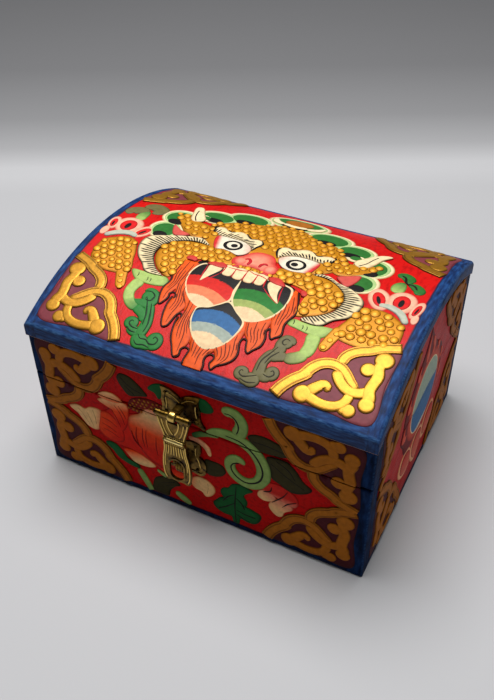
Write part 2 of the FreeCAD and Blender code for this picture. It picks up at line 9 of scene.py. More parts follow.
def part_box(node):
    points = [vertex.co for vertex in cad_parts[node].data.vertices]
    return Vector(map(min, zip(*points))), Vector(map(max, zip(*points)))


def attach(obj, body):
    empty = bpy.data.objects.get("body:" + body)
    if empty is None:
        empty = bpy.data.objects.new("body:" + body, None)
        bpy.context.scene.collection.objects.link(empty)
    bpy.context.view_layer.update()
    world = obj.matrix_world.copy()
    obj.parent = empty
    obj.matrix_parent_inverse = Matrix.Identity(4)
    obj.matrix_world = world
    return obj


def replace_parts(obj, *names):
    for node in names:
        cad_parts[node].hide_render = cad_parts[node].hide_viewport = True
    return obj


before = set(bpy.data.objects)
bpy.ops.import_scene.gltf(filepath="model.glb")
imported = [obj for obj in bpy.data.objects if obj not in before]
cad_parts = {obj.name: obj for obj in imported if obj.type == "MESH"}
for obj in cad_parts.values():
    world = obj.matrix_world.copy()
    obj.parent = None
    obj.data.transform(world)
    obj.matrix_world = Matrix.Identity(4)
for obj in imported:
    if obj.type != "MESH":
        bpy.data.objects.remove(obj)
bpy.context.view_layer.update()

scene = bpy.context.scene
scene.view_settings.view_transform = "Standard"


# Camera: it stands before the chest, to the right and above it, level but for a slight lean,
# and looks at a point a little over the middle of the base.
camera_turn, camera_rise, camera_lean = map(math.radians, (27.3, 40.08, -0.87))
camera_distance = 0.49826
camera_aim = Vector((0, 0, 0.050))
camera_slide = (-0.00679, 0.00822)
photo_height_px, focal_length_px = 700, 835.6
film_width = 36

sight = Vector((math.sin(camera_turn) * math.cos(camera_rise),
                -math.cos(camera_turn) * math.cos(camera_rise), math.sin(camera_rise)))
level = Vector((0, 0, 1)).cross(sight).normalized()
upward = sight.cross(level)
across = math.cos(camera_lean) * level + math.sin(camera_lean) * upward
upward = math.cos(camera_lean) * upward - math.sin(camera_lean) * level
camera = bpy.data.objects.new("camera", bpy.data.cameras.new("camera"))
camera.data.sensor_width = film_width
camera.data.lens = focal_length_px / photo_height_px * film_width
eye = camera_aim + across * camera_slide[0] + upward * camera_slide[1] + sight * camera_distance
camera.matrix_world = Matrix((across, upward, sight)).transposed().to_4x4()
camera.location = eye
scene.collection.objects.link(camera)
scene.camera = camera


# Floor: one seamless pale grey sheet, painted paler near the chest and darker far behind it: painted shade
# where less of the light reaches.
def add(tree, kind, inputs=(), **settings):
    """Adds a node. A socket among the inputs is linked, any other value is set."""
    made = tree.nodes.new(kind)
    for key, value in settings.items():
        setattr(made, key, value)
    for key, value in dict(inputs).items():
        if isinstance(value, bpy.types.NodeSocket):
            tree.links.new(value, made.inputs[key])
        else:
            made.inputs[key].default_value = value
    return made


def calc(tree, operation, a, b=0.0):
    """One sum on two numbers or sockets."""
    return add(tree, "ShaderNodeMath", {0: a, 1: b}, operation=operation).outputs[0]


def ramp(tree, factor, stops):
    """Colour picked by a factor from stops of (place, colour)."""
    made = add(tree, "ShaderNodeValToRGB", {0: factor})
    elements = made.color_ramp.elements
    while len(elements) < len(stops):
        elements.new(0.5)
    for element, (place, colour) in zip(elements, stops):
        element.position, element.color = place, colour
    return made.outputs[0]


def rgb(red, green, blue):
    """Paint given in 0 to 255 steps, as the linear colour that the shaders use."""
    value = np.array([red, green, blue]) / 255
    linear = np.where(value <= 0.04045, value / 12.92, ((value + 0.055) / 1.055) ** 2.4)
    return (*linear.tolist(), 1.0)


def surface(name):
    """An empty material with its shader: returns the material, its tree and the shader."""
    material = bpy.data.materials.new(name)
    material.use_nodes = True
    return material, material.node_tree, material.node_tree.nodes["Principled BSDF"]


floor_half, floor_near, floor_far = 6.0, 0.228, 0.57
floor_greys = (0.0, 189), (0.07, 196), (0.11, 196), (0.2, 168), (0.35, 143), (0.65, 124), (1.0, 122)
side = np.linspace(-floor_half, floor_half, 3)
spots = np.stack(np.meshgrid(side, side), -1).reshape(-1, 2)
floor = bpy.data.objects.new("floor", bpy.data.meshes.new("floor"))
floor.data.from_pydata(np.c_[spots, np.zeros(len(spots))].tolist(), [],
                       [(r + c, r + c + 1, r + c + 4, r + c + 3) for r in (0, 3) for c in (0, 1)])
material, tree, shader = surface("pale_sheet")
place = add(tree, "ShaderNodeTexCoord").outputs["Object"]
away = add(tree, "ShaderNodeVectorMath", {0: place, 1: (-sight.x, -sight.y, 0)},
           operation="DOT_PRODUCT").outputs["Value"]
depth = add(tree, "ShaderNodeMapRange", {0: away, 1: floor_near, 2: floor_far}).outputs[0]
# The greys darken with distance from the chest: painted shade of the light's falloff.
painted_falloff = ramp(tree, depth, [(at, rgb(grey, grey, grey + 2)) for at, grey in floor_greys])
tree.links.new(painted_falloff, shader.inputs["Base Color"])
shader.inputs["Roughness"].default_value = 0.75
floor.data.materials.append(material)
scene.collection.objects.link(floor)


# Light: one wide soft lamp overhead, a little behind the chest, so that the top is bright and
# the front lies in shade, a weak one at the right like a window, and a dim even room.
def soft_lamp(name, place, size, power):
    """Round lamp of a given width, turned to the point that the camera looks at."""
    lamp = bpy.data.objects.new(name, bpy.data.lights.new(name, "AREA"))
    lamp.data.shape, lamp.data.size, lamp.data.energy = "DISK", size, power
    lamp.location = place
    lamp.rotation_mode = "QUATERNION"
    lamp.rotation_quaternion = (Vector(place) - camera_aim).to_track_quat("Z", "Y")
    scene.collection.objects.link(lamp)


soft_lamp("overhead", (-0.16, 0.12, 1.38), 1.1, 25)
soft_lamp("window", (1.3, -0.3, 0.8), 0.9, 1.7)
world = bpy.data.worlds.new("room")
world.use_nodes = True
room = world.node_tree.nodes["Background"]
room.inputs["Color"].default_value = rgb(226, 228, 232)
room.inputs["Strength"].default_value = 0.05
scene.world = world


# Boards of the base and the lid: planed softwood, glued at rabbeted corners. Outside they are red over gesso
# with a blue band along the edges, both painted darker than on the top as painted shade; inside they are
# bare.
mm = 0.001
front_low, front_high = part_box("base_front_board")
half_width, half_depth = front_high[0], -front_low[1]
base_rim, lid_rim = front_high[2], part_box("lid_front_board")[0][2]
joint_height = (base_rim + lid_rim) / 2
corner_round = 1.6 * mm
front_border, side_border, foot_border = 93.0 * mm, 69.5 * mm, 4.4 * mm
border_waver, border_softness, score_softness = 1.6 * mm, 0.15 * mm, 0.7 * mm
lap_height, lap_depth = 3.8 * mm, 2.7 * mm
# The boards' red and blue are the top's paint made darker: painted shade of the upright faces, which turn
# away from the overhead lamp.
shaded_board_red = rgb(152, 3, 2), rgb(196, 8, 4)
shaded_board_blue = rgb(4, 14, 34), rgb(8, 28, 62), rgb(20, 50, 94), rgb(44, 78, 122)
bare_wood, bare_wood_dark = rgb(196, 150, 102), rgb(150, 104, 64)
board_gloss, board_streaks = 0.03, ((420, 420, 110), (420, 420, 110))


def mottle(tree, place, stretch, detail=5.0):
    """Noise over the piece, drawn out along an axis by a small stretch value there."""
    scaled = add(tree, "ShaderNodeMapping", {"Vector": place, "Scale": stretch}).outputs[0]
    return add(tree, "ShaderNodeTexNoise",
               {"Vector": scaled, "Scale": 1.0, "Detail": detail}).outputs[0]


def over(tree, value, limit, softness):
    """0 below the limit, 1 above it, with a narrow brushed edge."""
    return add(tree, "ShaderNodeMapRange",
               {0: value, 1: limit - softness, 2: limit + softness}).outputs[0]


def blend(tree, factor, a, b):
    """Colour a, which goes over to colour b as the factor goes from 0 to 1."""
    return add(tree, "ShaderNodeMix", {0: factor, 6: a, 7: b}, data_type="RGBA").outputs[2]


def paint_over_wood(name, outside, border, arris, field, edge, gloss, streaks):
    """Field colour with a border where outside says paint lies, bare wood elsewhere. The masks are made from
    the place x, y, z on the chest, the border with a hand's waver and a scored line. The field goes from deep
    to clear, the edge from deep over clear to pale, and it is palest along the arris, partly from wear and
    partly as a painted highlight of the arris's sheen. The streaks are the brush's, on the long edges and on
    the ends."""
    material, tree, shader = surface(name)
    place = add(tree, "ShaderNodeTexCoord").outputs["Object"]
    waver = add(tree, "ShaderNodeVectorMath",
                {0: add(tree, "ShaderNodeTexNoise", {"Vector": place, "Scale": 70.0}).outputs[1],
                 1: (0.5, 0.5, 0.5)}, operation="SUBTRACT").outputs[0]
    waver = add(tree, "ShaderNodeVectorMath", {0: waver, 3: border_waver}, operation="SCALE").outputs[0]
    wavy = add(tree, "ShaderNodeVectorMath", {0: place, 1: waver}).outputs[0]
    plain = add(tree, "ShaderNodeSeparateXYZ", {0: place}).outputs
    moved = add(tree, "ShaderNodeSeparateXYZ", {0: wavy}).outputs
    grain = mottle(tree, place, (55, 700, 700))
    brush = mottle(tree, place, (500, 140, 500))
    cloud = mottle(tree, place, (60, 60, 60), 3.0)
    wood = ramp(tree, grain, [(0.3, bare_wood_dark), (0.62, bare_wood)])
    red = ramp(tree, brush, [(0.3, field[0]), (0.52, field[1])])
    red = blend(tree, calc(tree, "MULTIPLY", cloud, 0.35), red, field[0])
    at_end = over(tree, calc(tree, "ABSOLUTE", plain[0]), front_border, 0.2 * mm)
    along, across = [mottle(tree, place, stretch) for stretch in streaks]
    streak = add(tree, "ShaderNodeMix", {0: at_end, 2: along, 3: across}).outputs[0]
    blue = ramp(tree, streak, [(0.3, edge[0]), (0.48, edge[1]), (0.72, edge[2])])
    scuff = mottle(tree, place, (260, 1100, 1100), 4.0)
    rubbed_and_sheen = ramp(tree, scuff, [(0.36, edge[1]), (0.66, edge[3])])
    # Along the arris the blue is painted paler: wear, and a painted highlight of the edge's sheen.
    blue = blend(tree, arris(tree, plain), blue, rubbed_and_sheen)
    in_border = border(tree, moved, border_softness)
    past_score = border(tree, moved, score_softness)
    score = calc(tree, "MULTIPLY", past_score, calc(tree, "SUBTRACT", 1.0, past_score))
    coat = blend(tree, calc(tree, "MULTIPLY", score, 3.6), blend(tree, in_border, red, blue), edge[0])
    tree.links.new(blend(tree, outside(tree, plain), wood, coat), shader.inputs["Base Color"])
    shader.inputs["Specular IOR Level"].default_value = gloss
    rough = add(tree, "ShaderNodeMapRange", {0: cloud, 1: 0.3, 2: 0.7, 3: 0.36, 4: 0.5}).outputs[0]
    rough = calc(tree, "ADD", rough, calc(tree, "MULTIPLY", in_border, 0.2))
    tree.links.new(rough, shader.inputs["Roughness"])
    grit = calc(tree, "ADD", brush, mottle(tree, place, (1300, 1300, 1300), 2.0))
    bump = add(tree, "ShaderNodeBump", {"Strength": 0.4, "Distance": 0.0003, "Height": grit})
    tree.links.new(bump.outputs[0], shader.inputs["Normal"])
    return material


def board_outside(tree, xyz):
    """Paint past the boards' square core, with rounded upright corners, and over the edges at
    the foot and at the joint of lid and base, as far as the slopes planed along the back."""
    squares = []
    for axis, half in ((0, half_width), (1, half_depth)):
        past = calc(tree, "SUBTRACT", calc(tree, "ABSOLUTE", xyz[axis]), half - corner_round)
        squares.append(calc(tree, "POWER", calc(tree, "MAXIMUM", past, 0.0), 2.0))
    reach = calc(tree, "SQRT", calc(tree, "ADD", *squares))
    from_joint = calc(tree, "ABSOLUTE", calc(tree, "SUBTRACT", xyz[2], joint_height))
    at_edge = [calc(tree, "SUBTRACT", 1.0, over(tree, height, lap_height, 0.1 * mm))
               for height in (from_joint, xyz[2])]
    lap = [over(tree, calc(tree, "ABSOLUTE", xyz[axis]), half - lap_depth, 0.1 * mm)
           for axis, half in ((0, half_width), (1, half_depth))]
    lap = calc(tree, "MULTIPLY", calc(tree, "MAXIMUM", *lap), calc(tree, "MAXIMUM", *at_edge))
    return calc(tree, "MAXIMUM", lap, over(tree, reach, corner_round - 0.07 * mm, 0.03 * mm))


def board_border(tree, xyz, softness):
    """Blue on the upright corners and along the foot."""
    from_middle = calc(tree, "ABSOLUTE", calc(tree, "ADD", xyz[0], 1.0 * mm))
    past_front = over(tree, from_middle, front_border, softness)
    past_side = over(tree, calc(tree, "ABSOLUTE", xyz[1]), side_border, softness)
    corner = calc(tree, "MULTIPLY", past_front, past_side)
    foot = calc(tree, "SUBTRACT", 1.0, over(tree, xyz[2], foot_border, softness))
    return calc(tree, "MAXIMUM", corner, foot)


def board_arris(tree, xyz):
    """The upright corners, where the blue is paler: wear from hands, and a painted highlight of their sheen.
    """
    reach = [over(tree, calc(tree, "ABSOLUTE", xyz[axis]), half - 0.7 * mm, 0.5 * mm)
             for axis, half in ((0, half_width), (1, half_depth))]
    return calc(tree, "MULTIPLY", *reach)


def finish_node(node, material):
    """Gives a piece of the frame its one material."""
    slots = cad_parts[node].data.materials
    slots.clear()
    slots.append(material)


board_paint = paint_over_wood("board_paint", board_outside, board_border, board_arris,
                              shaded_board_red, shaded_board_blue, board_gloss, board_streaks)
for part in ("base_front_board", "base_back_board", "base_left_board", "base_right_board",
             "lid_front_board", "lid_back_board", "lid_left_end", "lid_right_end"):
    finish_node(part, board_paint)


# Bottom board: one plain sanded board of the same softwood, let into the four base boards from
# below and left unpainted on both faces.
material, tree, shader = surface("bottom_wood")
place = add(tree, "ShaderNodeTexCoord").outputs["Object"]
grain = mottle(tree, place, (50, 600, 600))
wood = ramp(tree, grain, [(0.3, bare_wood_dark), (0.65, bare_wood)])
tree.links.new(wood, shader.inputs["Base Color"])
bump = add(tree, "ShaderNodeBump", {"Strength": 0.3, "Distance": 0.0003, "Height": grain})
tree.links.new(bump.outputs[0], shader.inputs["Normal"])
shader.inputs["Roughness"].default_value = 0.62
finish_node("base_bottom_board", material)


# Top panel: one bent board over the lid, red on its crown with a blue band that wraps round
# all four edges, bare underneath.
arch_rise, top_thickness = 20.0 * mm, 7.5 * mm
top_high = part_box("lid_top_panel")[1]
arch_radius = (arch_rise ** 2 + top_high[1] ** 2) / (2 * arch_rise)
arch_centre = top_high[2] - arch_radius
arch_length = 2 * arch_radius * math.asin(top_high[1] / arch_radius)
top_border_x, top_border_y = 94.0 * mm, 74.6 * mm
top_red = rgb(176, 8, 8), rgb(216, 18, 14)
top_blue = rgb(6, 24, 54), rgb(12, 46, 96), rgb(34, 80, 138), rgb(64, 106, 156)
top_gloss, top_streaks = 0.22, ((130, 480, 900), (600, 130, 300))


def from_arch_centre(tree, xyz):
    """Distance from the arch's axis: the root of y squared plus the height over it squared."""
    up = calc(tree, "SUBTRACT", xyz[2], arch_centre)
    squares = [calc(tree, "POWER", leg, 2.0) for leg in (xyz[1], up)]
    return calc(tree, "SQRT", calc(tree, "ADD", *squares))


def top_outside(tree, xyz):
    """Paint above the hollow underside of the arch."""
    return over(tree, from_arch_centre(tree, xyz), arch_radius - top_thickness + 0.1 * mm, 0.05 * mm)


def top_arris(tree, xyz):
    """The upper edge all round the panel, where the blue is paler: wear, and a painted highlight of its
    sheen.
    """
    sides = [over(tree, calc(tree, "ABSOLUTE", xyz[axis]), top_high[axis] - 1.1 * mm, 0.6 * mm)
             for axis in (0, 1)]
    high = over(tree, from_arch_centre(tree, xyz), arch_radius - 1.1 * mm, 0.6 * mm)
    return calc(tree, "MULTIPLY", calc(tree, "MAXIMUM", *sides), high)


def top_border(tree, xyz, softness):
    """Blue along all four edges."""
    from_middle = calc(tree, "ABSOLUTE", calc(tree, "ADD", xyz[0], 0.4 * mm))
    ends = over(tree, from_middle, top_border_x, softness)
    long_edges = over(tree, calc(tree, "ABSOLUTE", xyz[1]), top_border_y, softness)
    return calc(tree, "MAXIMUM", ends, long_edges)


top_paint = paint_over_wood("top_paint", top_outside, top_border, top_arris,
                            top_red, top_blue, top_gloss, top_streaks)
finish_node("lid_top_panel", top_paint)


# Brass: the hinges and their screws are plain. The latch is cast and toned and bright on the ridges. All the
# brass is painted dark in its hollows, as painted shade that on the latch is also its toning, and the pin
# deep in its eye is painted darker still, as shade.
def brass(name, bright, dull, dark, hollow_reach):
    """Metal that goes from bright to dull in patches, and dark where it is hemmed in: painted shade of its
    hollows, which on the toned latch is also its toning.
    """
    material, tree, shader = surface(name)
    place = add(tree, "ShaderNodeTexCoord").outputs["Object"]
    patches = mottle(tree, place, (300, 300, 300))
    metal = ramp(tree, patches, [(0.35, dull), (0.6, bright)])
    # Where the occlusion finds the metal hemmed in, it is painted dark: painted shade of the hollows.
    open_sky = add(tree, "ShaderNodeAmbientOcclusion", {"Distance": hollow_reach}, samples=8).outputs["AO"]
    worn = add(tree, "ShaderNodeMapRange", {0: open_sky, 1: 0.35, 2: 0.85}).outputs[0]
    tree.links.new(blend(tree, worn, dark, metal), shader.inputs["Base Color"])
    shader.inputs["Metallic"].default_value = 1.0
    rough = add(tree, "ShaderNodeMapRange", {0: patches, 1: 0.3, 2: 0.7, 3: 0.24, 4: 0.42})
    tree.links.new(rough.outputs[0], shader.inputs["Roughness"])
    bump = add(tree, "ShaderNodeBump", {"Strength": 0.25, "Distance": 0.0002,
                                        "Height": mottle(tree, place, (900, 900, 900))})
    tree.links.new(bump.outputs[0], shader.inputs["Normal"])
    return material


aged_brass = brass("aged_brass", rgb(132, 102, 42), rgb(50, 36, 12), rgb(8, 6, 3), 0.004)
plain_brass = brass("plain_brass", rgb(222, 184, 104), rgb(188, 150, 78), rgb(80, 58, 26), 0.0015)
# The pin's brass is painted darker than the rest as painted shade, for it lies deep in its eye.
shaded_pin_brass = brass("shaded_pin_brass", rgb(58, 42, 16), rgb(26, 19, 8), rgb(8, 6, 3), 0.004)
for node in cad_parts:
    if "hinge" in node:
        finish_node(node, plain_brass)
    elif node == "hasp_pin":
        finish_node(node, shaded_pin_brass)
    elif node.startswith(("hasp", "staple", "latch")):
        finish_node(node, aged_brass)


# Corner scrolls of the top: four fretted gold scrolls on a maroon ground, piped on in gesso and
# painted. One drawing is mirrored into all four corners.
gesso_coat = 0.5 * mm
gesso_foot = 0.4
top_stretch, arch_stretch, top_shift = 0.987 * mm, 0.968 * mm, 1.9 * mm
top_field = -97.0, 92.6, 5.8, 165.5
gold = rgb(62, 30, 4), rgb(193, 137, 38)
maroon = rgb(78, 28, 34), rgb(128, 58, 66)


def smooth_line(points, spacing=1.0, closed=False):
    """Line through given points: cubic pieces whose slopes follow the points either side (each piece's time
    is the root of its length), cut again into equal steps."""
    p = np.array(points, float)
    if closed:
        p = np.vstack([p[-1:], p, p[:2]])
    else:
        p = np.vstack([2 * p[0] - p[1], p, 2 * p[-1] - p[-2]])
    t = np.sqrt(np.linalg.norm(np.diff(p, axis=0), axis=1))[:, None]
    slope = np.diff(p, axis=0) / t
    chord = (p[2:] - p[:-2]) / (t[1:] + t[:-1])
    m = slope[:-1] - chord + slope[1:]
    s = np.linspace(0, 1, 16, endpoint=False)[None, :, None]
    a, b, g = p[1:-2, None], p[2:-1, None], t[1:-1, None]
    line = (a * (2 * s**3 - 3 * s**2 + 1) + b * (3 * s**2 - 2 * s**3)
            + g * (m[:-1, None] * (s**3 - 2 * s**2 + s) + m[1:, None] * (s**3 - s**2)))
    line = np.vstack([line.reshape(-1, 2), p[-2]])
    run = np.r_[0, np.cumsum(np.linalg.norm(np.diff(line, axis=0), axis=1))]
    stops = np.linspace(0, run[-1], max(4, int(run[-1] / spacing)) + 1)
    line = np.c_[np.interp(stops, run, line[:, 0]), np.interp(stops, run, line[:, 1])]
    return line[:-1] if closed else line


def shade(paint, crest):
    """Paint from its dark edge to its body as crest goes from 0 to 1. The dark edge is the painter's outline
    and shading, and also painted shade at the foot of each raised shape.
    """
    crest = np.clip(crest, 0, 1)[..., None]
    return np.array(paint[0]) * (1 - crest) + np.array(paint[1]) * crest


def strip(right, left, height, paint, lift=0.0, swell=2.0, ends=(1, 1), groove=0.0, fade=None,
          marks=None):
    """Raised strip ruled between two lines of equal count. Across it, the height is the root of
    1 minus the offset to the power swell, so swell 2 is half a round and 6 nearly flat. The
    wanted ends are rounded off. A groove is a pair of scored lines at that share of the half
    width, fade is the paint at the far end, and marks are a function of the run and the offset
    that tells where they lie, with their colour."""
    a = np.sin(np.linspace(-np.pi / 2, np.pi / 2, 21 if groove else 9))
    count, across = len(right), len(a)
    middle, half = (left + right) / 2, (left - right) / 2
    run = np.r_[0, np.cumsum(np.linalg.norm(np.diff(middle, axis=0), axis=1))]
    width = np.linalg.norm(half, axis=1)
    share = run / run[-1]
    taper = np.ones(count)
    for wanted, reach in zip(ends, (run, run[-1] - run)):
        if wanted:
            radius = max(min(width.max(), run[-1] / 2), 0.2)
            taper *= np.sqrt(1 - np.clip(1 - reach / radius, 0, 1) ** 2)
    round_end = np.maximum(taper, 0.05)[:, None]
    flat = middle[:, None] + a[None, :, None] * half[:, None] * round_end[..., None]
    up = np.sqrt(np.maximum(1 - np.abs(a) ** swell, 0))[None] * round_end
    crest = np.clip((1 - np.abs(a)) / 0.16, 0, 1)[None] * np.clip(taper * 2.5, 0, 1)[:, None]
    if groove:
        score = np.exp(-((np.abs(a) - groove) / 0.09) ** 2)[None]
        up, crest = up * (1 - 0.3 * score), crest * (1 - 0.9 * score)
    colour = shade(paint, crest)
    if fade:
        colour = colour * (1 - share)[:, None, None] + shade(fade, crest) * share[:, None, None]
    if marks:
        where, mark_colour = marks
        mark = where(*np.meshgrid(run, a, indexing="ij"))[..., None]
        colour = colour * (1 - mark) + np.array(mark_colour) * mark
    crown = np.dstack([flat, lift + height * up])
    foot = np.dstack([flat[:, [-1, 0]], np.full((count, 2), lift - gesso_foot)])
    points = np.concatenate([crown, foot], 1)
    colour = np.concatenate([colour, colour[:, -1:], colour[:, :1]], 1)
    ring = across + 2
    i, j = np.meshgrid(np.arange(count - 1), np.arange(ring), indexing="ij")
    k = (j + 1) % ring
    quads = np.stack([i * ring + j, (i + 1) * ring + j, (i + 1) * ring + k, i * ring + k], -1)
    caps = [list(range(ring)), list(range(count * ring - 1, (count - 1) * ring - 1, -1))]
    return points.reshape(-1, 3), quads.reshape(-1, 4).tolist() + caps, colour.reshape(-1, 4)


def bead(path, width, height, paint, spacing=1.0, **more):
    """Strip of a given width along a line. The widths are spread evenly along it."""
    line = smooth_line(path, spacing)
    widths = np.atleast_1d(width)
    wide = np.interp(np.linspace(0, 1, len(line)), np.linspace(0, 1, len(widths)), widths) / 2
    ahead = np.gradient(line, axis=0)
    ahead /= np.linalg.norm(ahead, axis=1)[:, None]
    aside = np.c_[-ahead[:, 1], ahead[:, 0]] * wide[:, None]
    return strip(line - aside, line + aside, height, paint, **more)


def mound(outline, centre, height, paint, lift=0.0, swell=4.0, spacing=1.0, colour=None, edge=0.16,
          rings=7):
    """Raised patch: rings drawn in from its outline to its centre. The height is the root of 1
    minus the ring's share of the way out to the power swell. A colour function, where there is
    one, stands in for the paint."""
    line = smooth_line(outline, spacing, closed=True)
    turn = np.cross(line, np.roll(line, -1, 0)).sum()
    line = line if turn > 0 else line[::-1]
    r = np.sin(np.linspace(0.12, np.pi / 2, rings))
    count = len(line)
    flat = np.array(centre) + r[:, None, None] * (line - np.array(centre))[None]
    h = lift + height * np.sqrt(np.maximum(1 - r ** swell, 0))
    points = np.concatenate([np.dstack([flat, np.repeat(h[:, None], count, 1)]).reshape(-1, 3),
                             np.c_[line, np.full(count, lift - gesso_foot)],
                             [[*centre, lift + height]]])
    crest = np.r_[np.repeat(np.clip((1 - r) / edge, 0, 1), count), np.zeros(count), 1.0]
    tints = shade(paint, crest) if colour is None else colour(points[:, 0], points[:, 1], crest)
    i, j = np.meshgrid(np.arange(rings), np.arange(count), indexing="ij")
    k = (j + 1) % count
    quads = np.stack([i * count + j, (i + 1) * count + j, (i + 1) * count + k, i * count + k], -1)
    top = np.arange(count)
    fan = np.c_[np.full(count, (rings + 1) * count), top, (top + 1) % count]
    base = list(range((rings + 1) * count - 1, rings * count - 1, -1))
    return points, quads.reshape(-1, 4).tolist() + fan.tolist() + [base], tints


def oval(centre, radii, height, paint, lean=0.0, **more):
    """Raised oval, its axes turned by lean degrees."""
    t = np.linspace(0, 2 * np.pi, 12, endpoint=False)
    c, s = math.cos(math.radians(lean)), math.sin(math.radians(lean))
    x, y = radii[0] * np.cos(t), radii[1] * np.sin(t)
    outline = np.c_[centre[0] + c * x - s * y, centre[1] + s * x + c * y]
    return mound(outline, centre, height, paint, **more)


def on_top(u, v, h):
    """The drawing's u runs along the chest and its v over the arch from the front edge, each
    stretched to fit, and h counts coats of gesso."""
    angle = (v * arch_stretch - arch_length / 2) / arch_radius
    reach = arch_radius + h * gesso_coat
    return np.c_[u * top_stretch + top_shift, reach * np.sin(angle), arch_centre + reach * np.cos(angle)]


def lay(name, panel, body, material, shapes, nudge=(0, 0)):
    """Joins shapes drawn in u, v, h into one closed piece on a panel, painted by the attribute.
    The nudge moves the whole drawing over the panel."""
    start, points, faces, colours = 0, [], [], []
    for shape_points, shape_faces, shape_colours in shapes:
        points.append(panel(*(np.asarray(shape_points) + (*nudge, 0)).T))
        faces += [[index + start for index in face] for face in shape_faces]
        colours.append(shape_colours)
        start += len(shape_points)
    mesh = bpy.data.meshes.new(name)
    mesh.from_pydata(np.concatenate(points).tolist(), [], faces)
    mesh.polygons.foreach_set("use_smooth", np.ones(len(mesh.polygons), bool))
    paint = mesh.color_attributes.new("paint", "FLOAT_COLOR", "POINT")
    paint.data.foreach_set("color", np.concatenate(colours).astype(np.float32).ravel())
    mesh.materials.append(material)
    piece = bpy.data.objects.new(name, mesh)
    scene.collection.objects.link(piece)
    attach(piece, body)
    return piece


def ornament_paint(name, rough, gloss, metal=0.0):
    """Brushed paint that takes its colour from the piece's own paint attribute."""
    material, tree, shader = surface(name)
    place = add(tree, "ShaderNodeTexCoord").outputs["Object"]
    own = add(tree, "ShaderNodeAttribute", attribute_name="paint").outputs["Color"]
    brush = mottle(tree, place, (420, 420, 420))
    worn = add(tree, "ShaderNodeMapRange", {0: brush, 1: 0.25, 2: 0.75, 3: 0.8, 4: 1.12}).outputs[0]
    coat = add(tree, "ShaderNodeVectorMath", {0: own, 3: worn}, operation="SCALE").outputs[0]
    tree.links.new(coat, shader.inputs["Base Color"])
    shader.inputs["Roughness"].default_value = rough
    shader.inputs["Specular IOR Level"].default_value = gloss
    shader.inputs["Metallic"].default_value = metal
    bump = add(tree, "ShaderNodeBump", {"Strength": 0.3, "Distance": 0.0002, "Height": brush})
    tree.links.new(bump.outputs[0], shader.inputs["Normal"])
    return material


gesso_paint = ornament_paint("gesso_paint", 0.45, 0.16)
gold_paint = ornament_paint("gold_paint", 0.42, 0.5, 0.65)


def corner_ground(at, paint=maroon):
    """Maroon patch under a corner scroll. The function at places the drawing's p along the
    chest's edge and q up from it."""
    outline = [(0.2, 0.2), (25, 0.2), (49, 0.2), (46, 7.5), (41, 13.5), (37, 20), (31, 24), (25.5, 26),
               (24, 32), (19, 36.5), (8, 42.5), (0.2, 45), (0.2, 22)]
    return [mound([at(*spot) for spot in outline], at(14, 14), 0.5, paint, swell=12, edge=0.05)]


def corner_scroll(at, size=1.0, height=2.0, paint=gold):
    """Gold bands of a corner scroll: two outer bands that meet in a loop, a lobed stem up the
    short side and another along the long side."""
    fuller, rounder, scored = 1.1, 1.08, 0.66

    def band(path, width, tall=1.0, **more):
        """A nearly flat band along a placed line."""
        line = [at(*spot) for spot in path]
        return bead(line, np.array(width) * fuller * size, height * tall, paint, swell=9.0, **more)

    def lobe(p, q, radius):
        """A round lobe at a placed spot."""
        reach = radius * rounder * size
        return oval(at(p, q), (reach, reach), height, paint, swell=9.0, edge=0.14)

    return [
        band([(49, 0.3), (46.8, 5.3), (43.1, 10.5), (38.6, 15), (36.2, 18.4)], 6.4,
             groove=scored, ends=(0, 1)),
        band([(41.6, 11.2), (39.4, 14.4), (36.6, 19.9), (33.8, 23), (28.6, 25.1), (23.3, 24.1),
              (19.2, 21), (15.8, 17.8), (11.6, 15.2)], [6.4, 6.4, 6.4, 6.2, 6, 5.8, 5.6, 5, 3.4],
             groove=scored),
        band([(0.3, 45.2), (4.6, 43.7), (11.4, 41), (14.6, 38.6)], 5.9, groove=scored, ends=(0, 1)),
        band([(6.6, 43), (10.4, 41.2), (14, 38.7), (19.2, 36.1), (22.8, 32.9), (24.4, 29.3),
              (23.8, 25.4)], 6.2, groove=scored),
        band([(25.2, 23), (23.4, 19.4), (20.7, 16.3), (16.1, 13.6), (11.4, 13.7), (7.7, 15.5),
              (5.6, 17.6)], 5.6, 0.95),
        band([(5.6, 35.5), (6.6, 30.3), (5.4, 25.1), (6.3, 19.9), (6.6, 16.3), (5.4, 12.6), (5.3, 9)],
             [7, 5.8, 6.2, 6, 6, 6.6, 7]),
        band([(6.4, 29), (8.6, 28.6), (11, 27.8)], [5.4, 5.8, 6.6]),
        lobe(5.6, 35.3, 4.8), lobe(11.1, 27.7, 3.9), lobe(5.3, 9.2, 4),
        band([(34.6, 5.4), (31.4, 9.6), (28, 12.8), (25.7, 11.8), (26.6, 9.2)], [7, 6.4, 5.8, 5.2, 3.6]),
        band([(35, 5), (27.5, 3.1), (22.8, 2.9), (18.1, 4.3), (15.5, 6.9), (14.5, 10.5), (14, 13)],
             [6, 5.4, 5.2, 5.2, 5.2, 5.2, 5.2]),
        band([(18, 4), (12.2, 3.6)], [5.2, 6.4]),
        lobe(36, 4.9, 4.7), lobe(12.2, 3.7, 3.5),
    ]


def corners(left, right, low, high, size=1.0):
    """The four placements of the corner drawing inside a panel's field."""
    return [lambda p, q, x=x, y=y, sx=sx, sy=sy: (x + sx * p * size, y + sy * q * size)
            for x, sx in ((left, 1), (right, -1)) for y, sy in ((low, 1), (high, -1))]


top_corners = corners(*top_field)
lay("top_corner_ground", on_top, "lid", gesso_paint, sum(map(corner_ground, top_corners), []))
scrolls = lay("top_corner_scrolls", on_top, "lid", gold_paint, sum(map(corner_scroll, top_corners), []))
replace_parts(scrolls, "front_left_scroll_relief", "front_right_scroll_relief", "back_left_scroll_relief",
            "back_right_scroll_relief")


